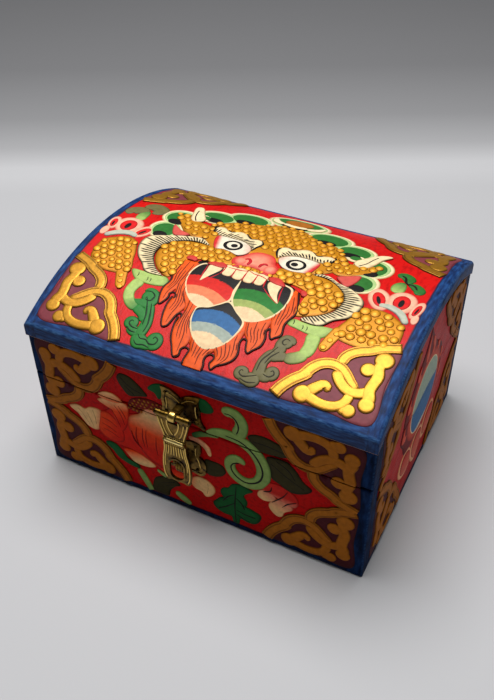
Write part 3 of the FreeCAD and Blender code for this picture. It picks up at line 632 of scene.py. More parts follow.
# Mane: a row of round green locks that stand behind the lion's head, each with a cream rim
# and a dark hollow, and a bronze boss in the topmost. They are gesso, laid coat on coat.
cream = rgb(170, 122, 70), rgb(246, 226, 178)
pale_green = rgb(100, 140, 78), rgb(176, 204, 134)
leaf_green = rgb(16, 58, 24), rgb(50, 114, 48)
ink = rgb(14, 12, 12), rgb(30, 26, 26)
bronze = rgb(110, 56, 12), rgb(176, 104, 30)


def lock(x, v, wide, tall):
    """One mane lock: cream rim, pale inner rim, green, then a dark hollow below."""
    return [oval((x, v), (wide, tall), 0.7, cream, swell=10, edge=0.08),
            oval((x, v - 0.5), (wide - 1.3, tall - 1.3), 0.95, pale_green, swell=10, edge=0.08),
            oval((x, v - 1.2), (wide - 2.8, tall - 2.8), 1.2, leaf_green, swell=8, edge=0.12),
            oval((x, v - tall * 0.62), (wide * 0.42, tall * 0.28), 0.25, ink, lift=1.1, swell=8)]


locks = [(-64, 92, 10.5, 11), (-63, 109, 12, 11.5), (-45, 122.5, 13.5, 11), (-28, 131.5, 15, 12.5),
         (-2, 146, 20, 14.5), (23, 131.5, 15, 12.5), (41.5, 122.5, 13, 11), (57, 108.5, 11.5, 12),
         (56, 90.5, 10.5, 10)]
mane = sum((lock(*spot) for spot in locks), [])
for x, v in ((-50.5, 115.8), (44.8, 113.6)):
    mane += [oval((x, v), (5.6, 4.6), 0.6, cream, lift=0.6, swell=10, edge=0.1),
             oval((x, v), (4.0, 3.0), 0.8, leaf_green, lift=0.6, swell=8, edge=0.12)]
mane += [oval((-2, 145.5), (9, 7.2), 0.5, bronze, lift=1.15, swell=6),
         bead([(-18, 148), (-15, 141), (-9, 138)], [2, 5, 4], 0.4, cream, lift=1.15),
         bead([(14, 148), (11, 141), (5, 138)], [2, 5, 4], 0.4, cream, lift=1.15),
         bead([(-10, 139), (-2, 138), (6, 139)], [4, 6, 4], 0.4, cream, lift=1.15)]
lay("lion_mane", on_top, "lid", gesso_paint, mane)


# Lion's head: gilt forehead, ears, cheeks and muzzle, laid flat and then set all over with round gesso
# pebbles, each with a dark ring round its foot and a paler tip that is a painted highlight.
# Pebble paint: a dark ring, the gold body, and a paler tip that is a painted highlight.
pebble_paint_and_highlight = rgb(92, 46, 4), rgb(208, 138, 20), rgb(238, 168, 42)
hide_paint = ornament_paint("hide_paint", 0.46, 0.3, 0.25)
hide_gold = rgb(110, 60, 6), rgb(210, 138, 20)
face_nudge = 0.6, -1.2


def within(outline, spots):
    """Which spots lie inside a closed outline: those from which a level ray crosses it oddly."""
    a, b = outline[:, None], np.roll(outline, -1, 0)[:, None]
    x, y = spots[None, :, 0], spots[None, :, 1]
    tall = np.where(a[..., 1] == b[..., 1], 1e-9, b[..., 1] - a[..., 1])
    crossing = (b[..., 0] - a[..., 0]) * (y - a[..., 1]) / tall + a[..., 0]
    hit = ((a[..., 1] > y) != (b[..., 1] > y)) & (x < crossing)
    return hit.sum(0) % 2 == 1


def pebbles(outline, centre, lift, seed, gap=5.0, radius=1.9, clear=(), paint=pebble_paint_and_highlight):
    """Domed pebbles in staggered rows over an outline, a little out of line as by hand, but not over the
    outlines to be kept clear. One pebble is four rings of a few sides and a tip, and the rings' reach and
    rise are shares of its size. Its paint goes from a dark ring at the foot over the body to a paler tip,
    which is a painted highlight."""
    edge = smooth_line(outline, 1.0, closed=True)
    out = edge - np.array(centre)
    inner = edge - out * (0.75 * radius / np.linalg.norm(out, axis=1))[:, None]
    low, high = edge.min(0), edge.max(0)
    rows = np.arange(low[1], high[1], gap * 0.87)
    cols = np.arange(low[0], high[0] + gap, gap)
    x, y = np.meshgrid(cols, rows)
    x[1::2] += gap / 2
    hand = np.random.default_rng(seed)
    spots = np.c_[x.ravel(), y.ravel()] + hand.normal(0, gap * 0.08, (x.size, 2))
    size = radius * hand.uniform(0.78, 1.15, len(spots))
    keep = within(inner, spots)
    for kept_clear in clear:
        keep &= ~within(smooth_line(kept_clear, 1.0, closed=True), spots)
    spots, size = spots[keep], size[keep]
    sides, flatness = 9, 0.76
    turn = np.linspace(0, 2 * np.pi, sides, endpoint=False)
    reach, rise = np.array([[1.24, 1.24, 0.96, 0.6], [-0.3, 0.04, 0.3, 0.84]])[..., None]
    rings = np.stack([reach * np.cos(turn), reach * np.sin(turn), rise + 0 * turn], -1)
    one = np.vstack([rings.reshape(-1, 3), [[0, 0, 1]]])
    points = one[None] * np.stack([size, size, size * flatness], -1)[:, None]
    points += np.c_[spots, np.full(len(spots), lift)][:, None]
    i, j = np.meshgrid(np.arange(len(reach) - 1), np.arange(sides), indexing="ij")
    k = (j + 1) % sides
    quads = np.stack([i * sides + j, i * sides + k, (i + 1) * sides + k, (i + 1) * sides + j], -1)
    tip = len(one) - 1
    fan = np.c_[tip - sides + j[0], tip - sides + k[0], np.full(sides, tip)]
    one_faces = quads.reshape(-1, 4).tolist() + fan.tolist() + [list(range(sides - 1, -1, -1))]
    faces = [[index + len(one) * n for index in face] for n in range(len(spots)) for face in one_faces]
    # The tip takes the palest paint: a painted highlight on each pebble.
    tones = np.array([paint[0], paint[0], paint[1], paint[2]])
    tints = np.vstack([np.repeat(tones, sides, 0), [paint[2]]])
    return points.reshape(-1, 3), faces, np.tile(tints, (len(spots), 1))


forehead = [(-45, 104), (-42, 114), (-36, 121), (-28, 126.5), (-17, 130), (-11, 135), (-3, 138), (6, 135.5),
            (12, 131), (22, 127.5), (32, 123), (38, 116), (43, 106), (41, 97), (33, 89), (20, 86), (6, 90),
            (-2, 92), (-9, 90), (-22, 86), (-34, 88), (-42, 95)]
left_cheek = [(-57.5, 72), (-55.5, 80), (-50, 86), (-42, 88), (-30, 89), (-18, 88.5), (-13, 83), (-13, 77),
              (-22, 75), (-32, 74), (-38.5, 70), (-39.5, 62), (-41, 54.5), (-48, 57), (-54, 63)]
right_cheek = [(53.5, 71), (52, 78), (46, 84), (38, 86.8), (28, 88), (18, 87.5), (10, 84), (9, 77),
               (18, 74.5), (26, 74), (33, 71), (34.5, 64), (34, 53.5), (41, 55.5), (48, 60), (52, 66)]
left_brow = [(-39.6, 107), (-38.4, 110.6), (-34.6, 110.8), (-30.4, 107.8), (-27.6, 107.8), (-25, 110.4),
             (-21, 110.2), (-17.4, 107), (-14.9, 105.2), (-11, 106.6), (-8, 105.6), (-7.1, 102),
             (-8.4, 98.6), (-9.6, 95.6)]
left_brow_low = [(-39.4, 105.6), (-37, 102.4), (-34, 100.8), (-29, 100.8), (-23, 100.8), (-18, 100.4),
                 (-14, 98.4), (-11.4, 96), (-10.2, 94.6)]
right_brow = [(35.3, 105.4), (35.4, 108), (33.4, 109), (30.6, 108.4), (27.6, 106.8), (24.8, 105.6),
              (21.6, 108.6), (18.6, 109.8), (15.8, 109.2), (13, 107), (10, 105.3), (7, 106.5), (4.2, 105.6),
              (3.3, 101.8), (4.4, 97.6), (6.3, 94)]
right_brow_low = [(35.2, 104.6), (34, 101.6), (31, 99.8), (26, 99.6), (20.6, 100.2), (15, 99.8), (11, 98.2),
                  (8.6, 96), (6.8, 93.8)]
left_eye = [(-34, 100), (-33.6, 95), (-31.6, 90), (-29.4, 87.2), (-25, 88.2), (-20, 87.6), (-15, 86.2),
            (-11.6, 88.2), (-9.9, 92), (-10.6, 95.6), (-13.4, 98.6), (-18, 100.6), (-24, 101), (-30, 101)]
right_eye = [(29.8, 98.4), (30, 95), (29.2, 91), (27.6, 87), (24, 86), (18, 85), (13, 86), (10, 88.2),
             (7.9, 91), (7.2, 94), (9, 96.5), (12, 98.6), (16, 100), (22, 100.2), (27, 99.6)]
nose = [(-1, 95), (4, 94), (7, 90.5), (8.5, 87), (11.5, 84), (12, 80), (9, 77.3), (5.5, 76.3), (2.5, 78.3),
        (-2, 79), (-7, 78.2), (-11.7, 77), (-15.2, 80.2), (-15.2, 84), (-11.5, 87.5), (-9, 91.5),
        (-5.5, 94.2)]


def around(centre, radii):
    """Eight points of an oval."""
    t = np.linspace(0, 2 * np.pi, 8, endpoint=False)
    return np.c_[centre[0] + radii[0] * np.cos(t), centre[1] + radii[1] * np.sin(t)]


on_face = [left_brow + left_brow_low[::-1], right_brow + right_brow_low[::-1], around((-22, 95), (13.4, 9.4)),
           around((18.8, 94), (13, 9.2)), around((-1, 87), (15.4, 10))]
left_ear = [(-38, 99), (-48, 101.5), (-58, 107.5), (-67.5, 115.5)]
right_ear = [(36, 98), (44, 100), (53, 104.5), (61.5, 111)]
head = [mound(forehead, (-2, 108), 1.5, hide_gold, swell=10, edge=0.04),
        mound(left_cheek, (-38, 77), 1.5, hide_gold, swell=10, edge=0.05),
        mound(right_cheek, (34, 76), 1.5, hide_gold, swell=10, edge=0.05),
        oval((-1.5, 76.8), (13, 3.6), 1.5, hide_gold, swell=8, edge=0.05),
        bead(left_ear, [19, 17, 11, 3], 1.5, hide_gold, swell=10),
        bead(right_ear, [15, 14, 10, 4], 1.5, hide_gold, swell=10)]
head += [pebbles(around((-1.5, 76.2), (13, 3.6)), (-1.5, 76.2), 1.5, 9, gap=4.4, radius=1.5),
         pebbles(forehead, (-2, 108), 1.5, 3, gap=5.4, clear=on_face),
         pebbles(left_cheek, (-38, 77), 1.5, 5, clear=on_face),
         pebbles(right_cheek, (34, 76), 1.5, 7, gap=5.4, radius=2.2, clear=on_face)]
for line, wide in ((left_ear, (15, 13, 7, 3.2)), (right_ear, (11, 10, 6.5, 3.2))):
    line = np.array(line)
    ahead = line[[1, 2, 3, 3]] - line[[0, 0, 1, 2]]
    aside = np.c_[-ahead[:, 1], ahead[:, 0]] / np.linalg.norm(ahead, axis=1)[:, None]
    aside *= np.array(wide)[:, None] / 2
    head.append(pebbles(np.vstack([line - aside, (line + aside)[::-1]]), line[1:3].mean(0), 1.5, 11,
                        clear=[forehead] + on_face))
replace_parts(lay("lion_head", on_top, "lid", hide_paint, head, face_nudge), "lion_head_relief")


# Horns, inner ears and cheek tufts: cream horns with a scored line, pink inner ears, and a
# crescent of white fur round each cheek, hatched in black from its inner edge.
pink = rgb(150, 30, 32), rgb(214, 88, 78)
horn = rgb(150, 104, 62), rgb(244, 220, 172)
fur = rgb(60, 46, 30), rgb(242, 220, 172)
hatch_gap, hatch_reach = 1.8, 1.85


def hatched(run, a):
    """Where hair strokes lie on a strip, from 0 to 1: one stroke for every gap along it, from
    the edge where a is -1 part of the way over, some shorter, and a line along both edges."""
    stroke = np.clip(2.2 - np.abs((run / hatch_gap) % 1 - 0.5) * 6.0, 0, 1)
    length = hatch_reach * (0.8 + 0.2 * np.cos(np.floor(run / hatch_gap) * 2.3))
    edges = np.clip((np.abs(a) - 0.86) * 10, 0, 1)
    return np.maximum(stroke * np.clip((length - (1 + a)) * 6, 0, 1), edges)


def evenly(points, count):
    """A given count of points, evenly spaced along a line through listed ones."""
    line = smooth_line(points, 0.3)
    pick = np.linspace(0, len(line) - 1, count)
    return np.stack([np.interp(pick, np.arange(len(line)), column) for column in line.T], 1)


def ruled(first, second, height, paint, count, marks=None, **more):
    """Strip between two drawn edges. Marks start from the first edge."""
    right, left = evenly(first, count), evenly(second, count)
    ahead = np.gradient((right + left) / 2, axis=0)
    if np.cross(ahead, left - right).sum() < 0:
        right, left = left, right
        if marks:
            where, mark_colour = marks
            marks = (lambda run, a: where(run, -a)), mark_colour
    return strip(right, left, height, paint, marks=marks, **more)


left_fur_out = [(-32.5, 88.5), (-40, 92.5), (-50, 90.5), (-58.8, 87), (-68.5, 82), (-70.4, 76.9),
                (-69.4, 70.6), (-65.6, 63.8), (-60, 58.8), (-55, 53.8), (-44, 53.6)]
left_fur_in = [(-33, 87), (-41, 88), (-48, 86), (-53.5, 82), (-56.9, 76.9), (-57.3, 69.4), (-54.4, 63),
               (-48.8, 57), (-43.5, 54.4)]
right_fur_out = [(30.5, 87.5), (38, 89), (46.5, 85), (55, 82.5), (62.8, 76.5), (63.8, 70.6), (60.6, 61.9),
                 (54, 57), (49, 51.3), (40, 50.6)]
right_fur_in = [(31, 86), (38, 86.6), (46, 82.5), (51.5, 77), (53.2, 70.6), (50.8, 62.5), (44.5, 57),
                (36.5, 53)]
tufts = [*(ruled(inner, outer, 1.0, fur, 330, (hatched, ink[0]), lift=1.2, swell=6)
           for inner, outer in ((left_fur_in, left_fur_out), (right_fur_in, right_fur_out))),
         bead([(-62, 131), (-60, 126), (-57.4, 120), (-54.8, 114.4), (-51.6, 109.4)],
              [5.6, 6.4, 7.4, 9, 10.6], 0.9, horn, lift=1.3, swell=3),
         bead([(61.6, 128.4), (57.6, 125), (55, 121), (52.6, 115), (49.8, 109.5), (47.4, 105.8)],
              [3.4, 5.4, 7, 9, 10.4, 10], 0.9, horn, lift=1.3, swell=3),
         bead([(-59.4, 124.3), (-58, 118.4), (-56, 113), (-53.5, 109)], 0.8, 0.3, ink, lift=2.05),
         bead([(55.4, 122.4), (53.6, 117), (51.7, 110.3), (48.8, 105.9)], 0.8, 0.3, ink, lift=2.05),
         mound([(-62, 99.5), (-55, 95), (-48.5, 93), (-52, 90), (-57, 89), (-60, 93)], (-56, 93.5), 0.9,
               pink, lift=1.3),
         mound([(54, 97), (48, 94), (42.5, 90.5), (46, 86.5), (50, 84), (53.5, 89)], (49.5, 90), 0.9, pink,
               lift=1.3)]
lay("lion_tufts", on_top, "lid", gesso_paint, tufts, face_nudge)


# Eyes and brows: white eyeballs reddened at the outer corners, black rings and pupils, under
# scalloped white brows hatched in black. They are thin coats of gesso on the gilt face, painted
# by hand.
eye_white, eye_red, eye_edge = rgb(238, 226, 200), rgb(214, 50, 52), rgb(120, 44, 36)
eye_half_width = 11.5
eye_nudge = 0.8, -1.7


def eyeball(outline, centre, outer):
    """White patch that reddens sharply at its leaning outer side and faintly at its inner one."""
    def tint(x, y, crest):
        share = (x - centre[0]) * outer / eye_half_width - 0.025 * (y - centre[1])
        outside, inside = np.clip((share - 0.6) / 0.22, 0, 1), np.clip((-share - 0.6) / 0.3, 0, 1)
        white = shade((eye_white, eye_red), np.maximum(outside, 0.3 * inside))
        edge = np.clip(crest * 3, 0, 1)[:, None]
        return np.array(eye_edge) * (1 - edge) + white * edge
    return mound(outline, centre, 0.6, cream, lift=1.4, swell=5, colour=tint, spacing=0.6, rings=14)


def ring_eye(x, v, pupil_x, pupil_v):
    """Black ring with white in it, and a pupil off its middle."""
    return [oval((x, v), (5.7, 5.2), 0.25, ink, lift=2.0, swell=10, spacing=0.5),
            oval((x + 0.2, v), (4.0, 3.7), 0.4, (eye_white, eye_white), lift=2.0, swell=10, spacing=0.5),
            oval((pupil_x, pupil_v), (2.2, 2.1), 0.55, ink, lift=2.0, swell=8, spacing=0.5)]


def hairs(low, high, count, reach):
    """Hair strokes from an edge part of the way to the other, longer and shorter by turns."""
    low, high = evenly(low, count + 2)[1:-1, None], evenly(high, count + 2)[1:-1, None]
    long = (reach * (1 - 0.22 * (np.arange(count) % 2)))[:, None, None]
    return low + (high - low) * np.array([0.04, 0.5, 1.0])[:, None] * long


def lines(paths, paint, lift, wide=0.6):
    """Fine painted lines, thin at both ends."""
    return [bead(path, [wide * 0.4, wide, wide * 0.5], 0.25, paint, lift=lift, spacing=0.7) for path in paths]


eyes = [eyeball(left_eye, (-22, 94), -1), eyeball(right_eye, (18.7, 92.6), 1),
        *ring_eye(-21.2, 93.9, -20.2, 93.6), *ring_eye(18.4, 91.5, 17.6, 91.1),
        ruled(left_brow_low, left_brow, 1.0, fur, 120, lift=1.4, swell=6),
        ruled(right_brow_low, right_brow, 1.0, fur, 120, lift=1.4, swell=6)]
eyes += lines([*hairs(left_brow_low, left_brow, 19, 0.62), *hairs(right_brow_low, right_brow, 19, 0.55)],
              ink, 2.42, 1.0)
eyes += lines([[(-34.4, 100.6), (-38, 103.4), (-39.9, 107.6), (-38.6, 110.6)],
               [(-31.6, 109), (-29, 107.4), (-26.6, 109)],
               [(-20.4, 110), (-15, 105.2), (-11.6, 106.4)],
               [(-9, 106.4), (-6.8, 102.6), (-8.4, 98.4), (-9.8, 93.6)],
               [(6.4, 93), (4, 97.6), (3, 102), (4.2, 105.8)], [(21.2, 109), (24.8, 105.5), (28, 107)],
               [(12.6, 106.8), (10, 105.2), (7.2, 106.6)], [(34.2, 109), (35.7, 106.6), (34.2, 101.6)]],
              ink, 2.1, 1.3)
lay("lion_eyes", on_top, "lid", gesso_paint, eyes, eye_nudge)


# Nose: broad and pink, built up in gesso and highest at its bridge, with a round wing on each
# side and two curled nostrils painted in red.
nose_pink = rgb(212, 40, 40), rgb(248, 150, 122)
nostril = rgb(170, 20, 30), rgb(196, 30, 42)
nose_nudge = 0.8, -1.8
snout = [mound(nose, (-2, 84), 1.8, nose_pink, lift=1.2, swell=2.4, edge=0.6, rings=12),
         oval((-9.8, 82), (4.6, 4.2), 1.5, nose_pink, lift=1.6, swell=2.5, edge=0.7),
         oval((7.6, 81), (4.4, 4.2), 1.5, nose_pink, lift=1.6, swell=2.5, edge=0.7),
         bead([(-8.6, 83.6), (-6.4, 84.8), (-4.8, 82.8), (-5.4, 79.8)], [1.2, 1.7, 2.0, 1.5], 0.5, nostril,
              lift=2.95, spacing=0.5),
         bead([(1.6, 80), (1.9, 82.6), (3.6, 84), (5.6, 83.4)], [1.5, 2.0, 1.7, 1.2], 0.5, nostril,
              lift=2.95, spacing=0.5)]
lay("lion_nose", on_top, "lid", gesso_paint, snout, nose_nudge)


# Mouth: a black hollow, an upper row of ivory teeth with two curved fangs, red lips, and the
# three jewels that the lion bites, each banded from dark to cream and rimmed in ivory. All of it
# is gesso, laid in coats and painted.
ivory = rgb(186, 134, 84), rgb(242, 216, 168)
lip = rgb(132, 12, 16), rgb(208, 62, 54)
black, jewel_cream = ink[1], rgb(241, 205, 158)
mouth_nudge = 0.5, -1.0


def banded(crown, bands):
    """Paint that changes with height, along arcs that drop to both sides of a crown line. Each
    band is (its lower arc's height, how fast that drops, colour), from the top."""
    def tint(x, y, crest):
        colour = np.tile(np.array(bands[-1][2]), (len(x), 1))
        for low, drop, band in bands[-2::-1]:
            colour[y > low - drop * (x - crown) ** 2] = band
        rim = (crest < 0.42)[:, None]
        return np.where(rim, np.array(ivory[1]), colour)
    return tint


def jewel(outline, centre, crown, bands):
    """Rounded patch, banded across, in rings fine enough for the bands' edges."""
    return mound(outline, centre, 1.1, ivory, lift=0.9, swell=5, spacing=0.55, rings=34,
                 colour=banded(crown, bands))


red_jewel = jewel([(-27.5, 72), (-31, 66), (-31.4, 59), (-29, 52), (-24, 45.5), (-18, 41.3), (-13.5, 40.6),
                   (-8, 43.2), (-3, 47.5), (-0.8, 50.8), (-1.8, 58), (-1.6, 66), (-2, 72), (-15, 73)],
                  (-16, 56), -18.5,
                  [(62.2, 0.016, black), (54.3, 0.019, rgb(214, 32, 22)), (48.2, 0.03, rgb(232, 128, 84)),
                   (0, 0, jewel_cream)])
green_jewel = jewel([(-2, 72), (-2.4, 60), (-0.6, 50.8), (4, 45), (9, 41.3), (12.5, 40.5), (18, 42),
                     (24, 47.5), (27.2, 54), (28, 60), (27.5, 66), (25.5, 71), (12, 73)], (13, 56), 10.5,
                    [(62.3, 0.02, black), (54, 0.02, rgb(38, 118, 44)), (49.2, 0.03, rgb(158, 172, 92)),
                     (0, 0, jewel_cream)])
blue_jewel = jewel([(-15.8, 40.5), (-16, 35), (-14, 29), (-10, 23.3), (-5, 19.3), (-0.5, 17.8), (4, 19.6),
                    (8.7, 23.8), (11.3, 29), (12.7, 35), (12.2, 40), (6, 45), (-1, 50), (-5, 47),
                    (-10, 43)], (-1.5, 34), -2.7,
                   [(42, 0.026, black), (33.2, 0.02, rgb(46, 100, 152)), (27.5, 0.03, rgb(162, 172, 158)),
                    (0, 0, jewel_cream)])
mouth = [mound([(-32, 72.5), (-33, 60), (-28, 48), (-16, 40), (-2, 46), (12, 40), (25, 47), (29, 60),
                (27, 71.5), (-2, 74.5)], (-2, 58), 1.0, ink, swell=12, edge=0.02),
         blue_jewel, red_jewel, green_jewel]
for left, right, low in ((-15, -8.8, 66.6), (-8.6, -2.4, 66), (-2, 4, 65.8), (4.2, 9.8, 66.2)):
    tooth = [(left, 75), (left, low + 2), (left + 1, low), (right - 1, low), (right, low + 2), (right, 75)]
    mouth.append(mound(tooth, ((left + right) / 2, 70.5), 0.5, ivory, lift=1.75, swell=8, spacing=0.6))
mouth += [bead([(-19.3, 74), (-20.4, 68), (-21.8, 63), (-22.9, 58)], [10, 8, 4.5, 0.6], 0.8, ivory,
               lift=1.4, swell=4, ends=(1, 0)),
          bead([(15, 73), (16.6, 66.5), (19.5, 61), (23, 57.2)], [10, 8, 4.2, 0.6], 0.8, ivory, lift=1.4,
               swell=4, ends=(1, 0)),
          mound([(-26, 72), (-22, 75.2), (-17, 75.8), (-13.4, 73), (-17, 71.2), (-22, 71.2)], (-19.6, 73.4),
                1.4, lip, lift=1.6, swell=3),
          mound([(10, 73.5), (13, 75.6), (17, 75.2), (21.6, 70.5), (17, 69.8), (12.5, 71.2)], (15.6, 72.8),
                1.4, lip, lift=1.6, swell=3),
          bead([(-39, 71.5), (-36, 73.2), (-32, 71.6)], [3, 4.4, 2.4], 1.2, lip, lift=1.4),
          bead([(30, 71), (32, 70.2), (34, 67)], [2.4, 4, 2.4], 1.2, lip, lift=1.4),
          bead([(-12.8, 74.6), (-10, 76), (-7.6, 75.2)], [1.4, 2.4, 1.2], 1.2, lip, lift=1.6),
          bead([(4.4, 75.4), (7, 76.2), (9.6, 74.6)], [1.2, 2.4, 1.4], 1.2, lip, lift=1.6)]
mouth += lines([[(-14.4, 73.6), (-14.6, 70), (-15.4, 66.2)], [(-8.7, 73.4), (-8.6, 70), (-8.4, 65.8)],
                [(-2.2, 74.4), (-2.2, 70), (-2, 65.6)], [(4.2, 73.6), (4.3, 70), (4.4, 65.8)],
                [(10, 72.4), (10.2, 69), (11, 65.2)], [(-14, 73.2), (-9, 73.2), (-4.3, 73.6), (-1.4, 74.8)],
                [(-1.4, 74.8), (2, 73.5), (6.4, 73.2), (10.4, 71.8)]],
               nostril, 2.16, 0.9)
mouth += lines([[(-24.6, 71), (-24.2, 66), (-23.6, 58)], [(-15.4, 66.8), (-18.6, 62), (-22.6, 57.6)],
                [(20.6, 70), (21.4, 64), (23.2, 57)], [(11, 65.6), (15.6, 61.6), (22.6, 57)]],
               nostril, 1.85, 0.9)
lay("lion_mouth", on_top, "lid", gesso_paint, mouth, mouth_nudge)


# Beard: flame-shaped locks of orange hair that hang round the mouth to the front edge, each
# with fine dark hairs, the whole outlined in dark brown. The locks are gesso, and the hairs and
# the outline are thick strokes of paint.
hair = rgb(146, 36, 6), rgb(233, 89, 20)
outline_brown = rgb(26, 9, 7), rgb(52, 18, 12)
hair_stroke = rgb(96, 30, 12), rgb(110, 36, 14)
hair_runs = (0.14, 0, 13), (0.3, 4, 20), (0.46, 0, 17), (0.62, 5, 22), (0.78, 1, 16), (0.9, 6, 14)
beard_nudge = 0.2, -0.4
beard_locks = [([(-39.7, 70), (-39.8, 58), (-38, 52), (-39, 46), (-38, 40), (-35.9, 35.4)],
                [(-29.5, 70), (-30, 58), (-31, 50), (-33, 45), (-33.3, 41), (-34.4, 37.4), (-35.6, 35.4)]),
               ([(-33, 60), (-33.4, 50), (-31, 44), (-31.4, 36), (-30.2, 29), (-28.4, 24.1), (-27.2, 22.8)],
                [(-27, 52), (-24.6, 44), (-21, 38), (-22.6, 33.4), (-24, 28), (-25, 24.1), (-26.9, 22.8)]),
               ([(-22, 44), (-20.6, 36), (-21, 30), (-21.6, 25), (-19.7, 18.4), (-17.1, 14.1), (-13.8, 8.7)],
                [(-14, 40), (-14, 29), (-9.6, 22), (-9.4, 17), (-11.3, 13.4), (-11, 11), (-13.3, 8.7)]),
               ([(-9.5, 22), (-8.5, 18), (-7, 14), (-7.5, 8), (-7.1, 5.6)],
                [(7, 22), (5.5, 18), (2.9, 14), (3.5, 9), (3.8, 5.6)]),
               ([(2, 20), (6, 17), (7.2, 13.5), (6.4, 9.8), (8, 8.2)],
                [(16, 36), (15.7, 28), (17.4, 21), (16.8, 16.7), (14.2, 13.7), (9.8, 10.6), (8.3, 8.2)]),
               ([(13, 40), (15.4, 33), (18, 30), (19.5, 26.4), (20.7, 23.8), (21.9, 22.8)],
                [(26, 46), (25.6, 38), (26.9, 33), (26.6, 29), (23.8, 25), (22.2, 22.8)]),
               ([(24, 58), (24.4, 46), (26.8, 40), (28.4, 36), (29.7, 34.5)],
                [(30, 69), (33.8, 59), (34.8, 54), (32.5, 45.4), (33.4, 39), (31.2, 35.8), (30, 34.5)])]
beard = [mound([(-37, 70), (-37, 56), (-33, 48), (-27, 42), (-20.5, 35), (-13, 24), (-9, 18), (-2, 16),
                (5, 17.5), (11, 22), (15, 31), (22, 41), (29, 50), (32.5, 60), (31, 69), (-2, 72)],
               (-2, 46), 0.9, hair, swell=12, edge=0.02)]
for left, right in beard_locks:
    beard.append(ruled(left, right, 0.7, hair, 48, lift=0.5, swell=6, ends=(0, 0)))
    left, right = evenly(left, 24), evenly(right, 24)
    for share, start, stop in hair_runs:
        one_hair = (left + (right - left) * share)[start:stop:4]
        beard.append(bead(one_hair, [0.4, 0.7, 0.3], 0.3, hair_stroke, lift=1.08, spacing=1.2))
for path in ([(-39.7, 70), (-39.8, 58), (-37.8, 52), (-39.1, 46), (-38, 40), (-35.8, 35.2), (-34.2, 37.6),
              (-33.2, 41), (-33.7, 43.5), (-31.9, 44.9), (-29.8, 43.4), (-29.6, 41.4), (-30.8, 41.6)],
             [(-31.3, 42.5), (-31.5, 36), (-30.2, 28.9), (-28.4, 24.1), (-27.1, 22.7), (-25, 24.1),
              (-24.1, 27.6), (-23.4, 31.4), (-21.9, 33.5), (-20.3, 32), (-20.6, 30.4)],
             [(-21.9, 31.4), (-21.7, 26.3), (-19.7, 18.4), (-17.1, 14.1), (-13.5, 8.6), (-11.2, 9.8),
              (-11.5, 13.7), (-9.6, 15.4), (-7.2, 14.6), (-7.2, 12.4), (-7.6, 8), (-7.1, 5.6)],
             [(3.8, 5.6), (3.6, 9), (2.6, 11.5), (2.8, 14.1), (4.6, 15.9), (6.8, 15.4), (7.2, 13.7),
              (6.2, 11.2), (8.1, 8.1), (9.8, 10.6), (14.2, 13.7), (16.8, 16.7), (17.6, 20.2), (15.7, 27.6),
              (16.4, 29.8), (18.4, 29.6), (19.6, 26.3), (20.7, 23.7), (22, 22.7), (23.7, 25), (26.6, 28.8),
              (26.8, 33.7), (25.4, 38.4), (26.6, 40.1), (28.3, 36.2), (29.8, 34.4), (31.1, 35.8),
              (33.5, 38), (32.4, 45.4), (34.9, 54.5), (33.7, 59.3), (29.8, 69.5)]):
    beard.append(bead(path, 1.25, 1.0, outline_brown, lift=0.5, spacing=0.7))
lay("lion_beard", on_top, "lid", gesso_paint, beard, beard_nudge)


# Paws: a gilt, pebbled paw reaches down on each side from a pale cuff, with one long finger
# towards the ribbons. They are built up in gesso like the face.
cuff = rgb(112, 118, 116), rgb(188, 192, 172)
paw_nudge = 0.3, -0.6
left_paw = [(-91.5, 69), (-86, 73.5), (-79, 76.5), (-73.5, 75), (-69, 68), (-66, 60), (-63, 51),
            (-66.5, 47.5), (-72, 46.5), (-79, 46.5), (-86, 50), (-91, 54)]
right_paw = [(61.5, 66), (65.5, 71.5), (71, 73.5), (77, 73), (83, 70.5), (88, 66), (89.5, 58), (89, 51.5),
             (82, 48), (74, 45), (66, 45), (59.5, 47), (57.5, 53), (60, 60)]
left_finger = [(-68.5, 53), (-65.5, 45.6), (-61.8, 37.4)]
right_finger = [(60.5, 54), (57.8, 46.4), (55.4, 36.4)]
paws = [mound(left_paw, (-78, 60), 1.2, hide_gold, swell=10, edge=0.06),
        mound(right_paw, (74, 59), 1.2, hide_gold, swell=10, edge=0.06),
        bead(left_finger, [7.5, 6.6, 5.8], 1.2, hide_gold, swell=8),
        bead(right_finger, [7.5, 6.4, 5.6], 1.2, hide_gold, swell=8),
        pebbles(left_paw, (-78, 60), 1.2, 21),
        pebbles(right_paw, (74, 59), 1.2, 24, gap=5.8, radius=2.2)]
# Knuckles that go from the dark ring paint to the pale tip paint: a painted highlight on each.
for x, v in ((-65.8, 46), (-64.2, 42.2), (-62.4, 38.6), (59, 49), (57.4, 44.2), (56, 39)):
    paws.append(oval((x, v), (1.7, 1.7), 0.9, (pebble_paint_and_highlight[0], pebble_paint_and_highlight[2]), lift=1.1, swell=2.5,
                     rings=5, spacing=0.9))
lay("lion_paws", on_top, "lid", hide_paint, paws, paw_nudge)
lay("lion_cuffs", on_top, "lid", gesso_paint,
    [bead([(-93.5, 71.5), (-87, 77), (-80, 79), (-74.5, 77.5)], [3.5, 4.6, 4.6, 3.5], 1.6, cuff, swell=3),
     bead([(70.5, 76), (76.5, 77), (83, 74.5), (88.6, 67.5)], [3.2, 4.4, 4.6, 3.4], 1.6, cuff, swell=3)])


# Flowers and leaves beside the head: pink flowers with red hearts above the cuffs, and a
# two-lobed leaf on a pale stalk above each, in painted gesso.
petal_pink = rgb(204, 82, 74), rgb(246, 184, 152)
heart_red = rgb(150, 14, 18), rgb(222, 36, 36)
olive = rgb(50, 46, 24), rgb(116, 108, 66)
light_green = rgb(92, 130, 56), rgb(174, 200, 110)
flower_nudge = 0.2, -0.8


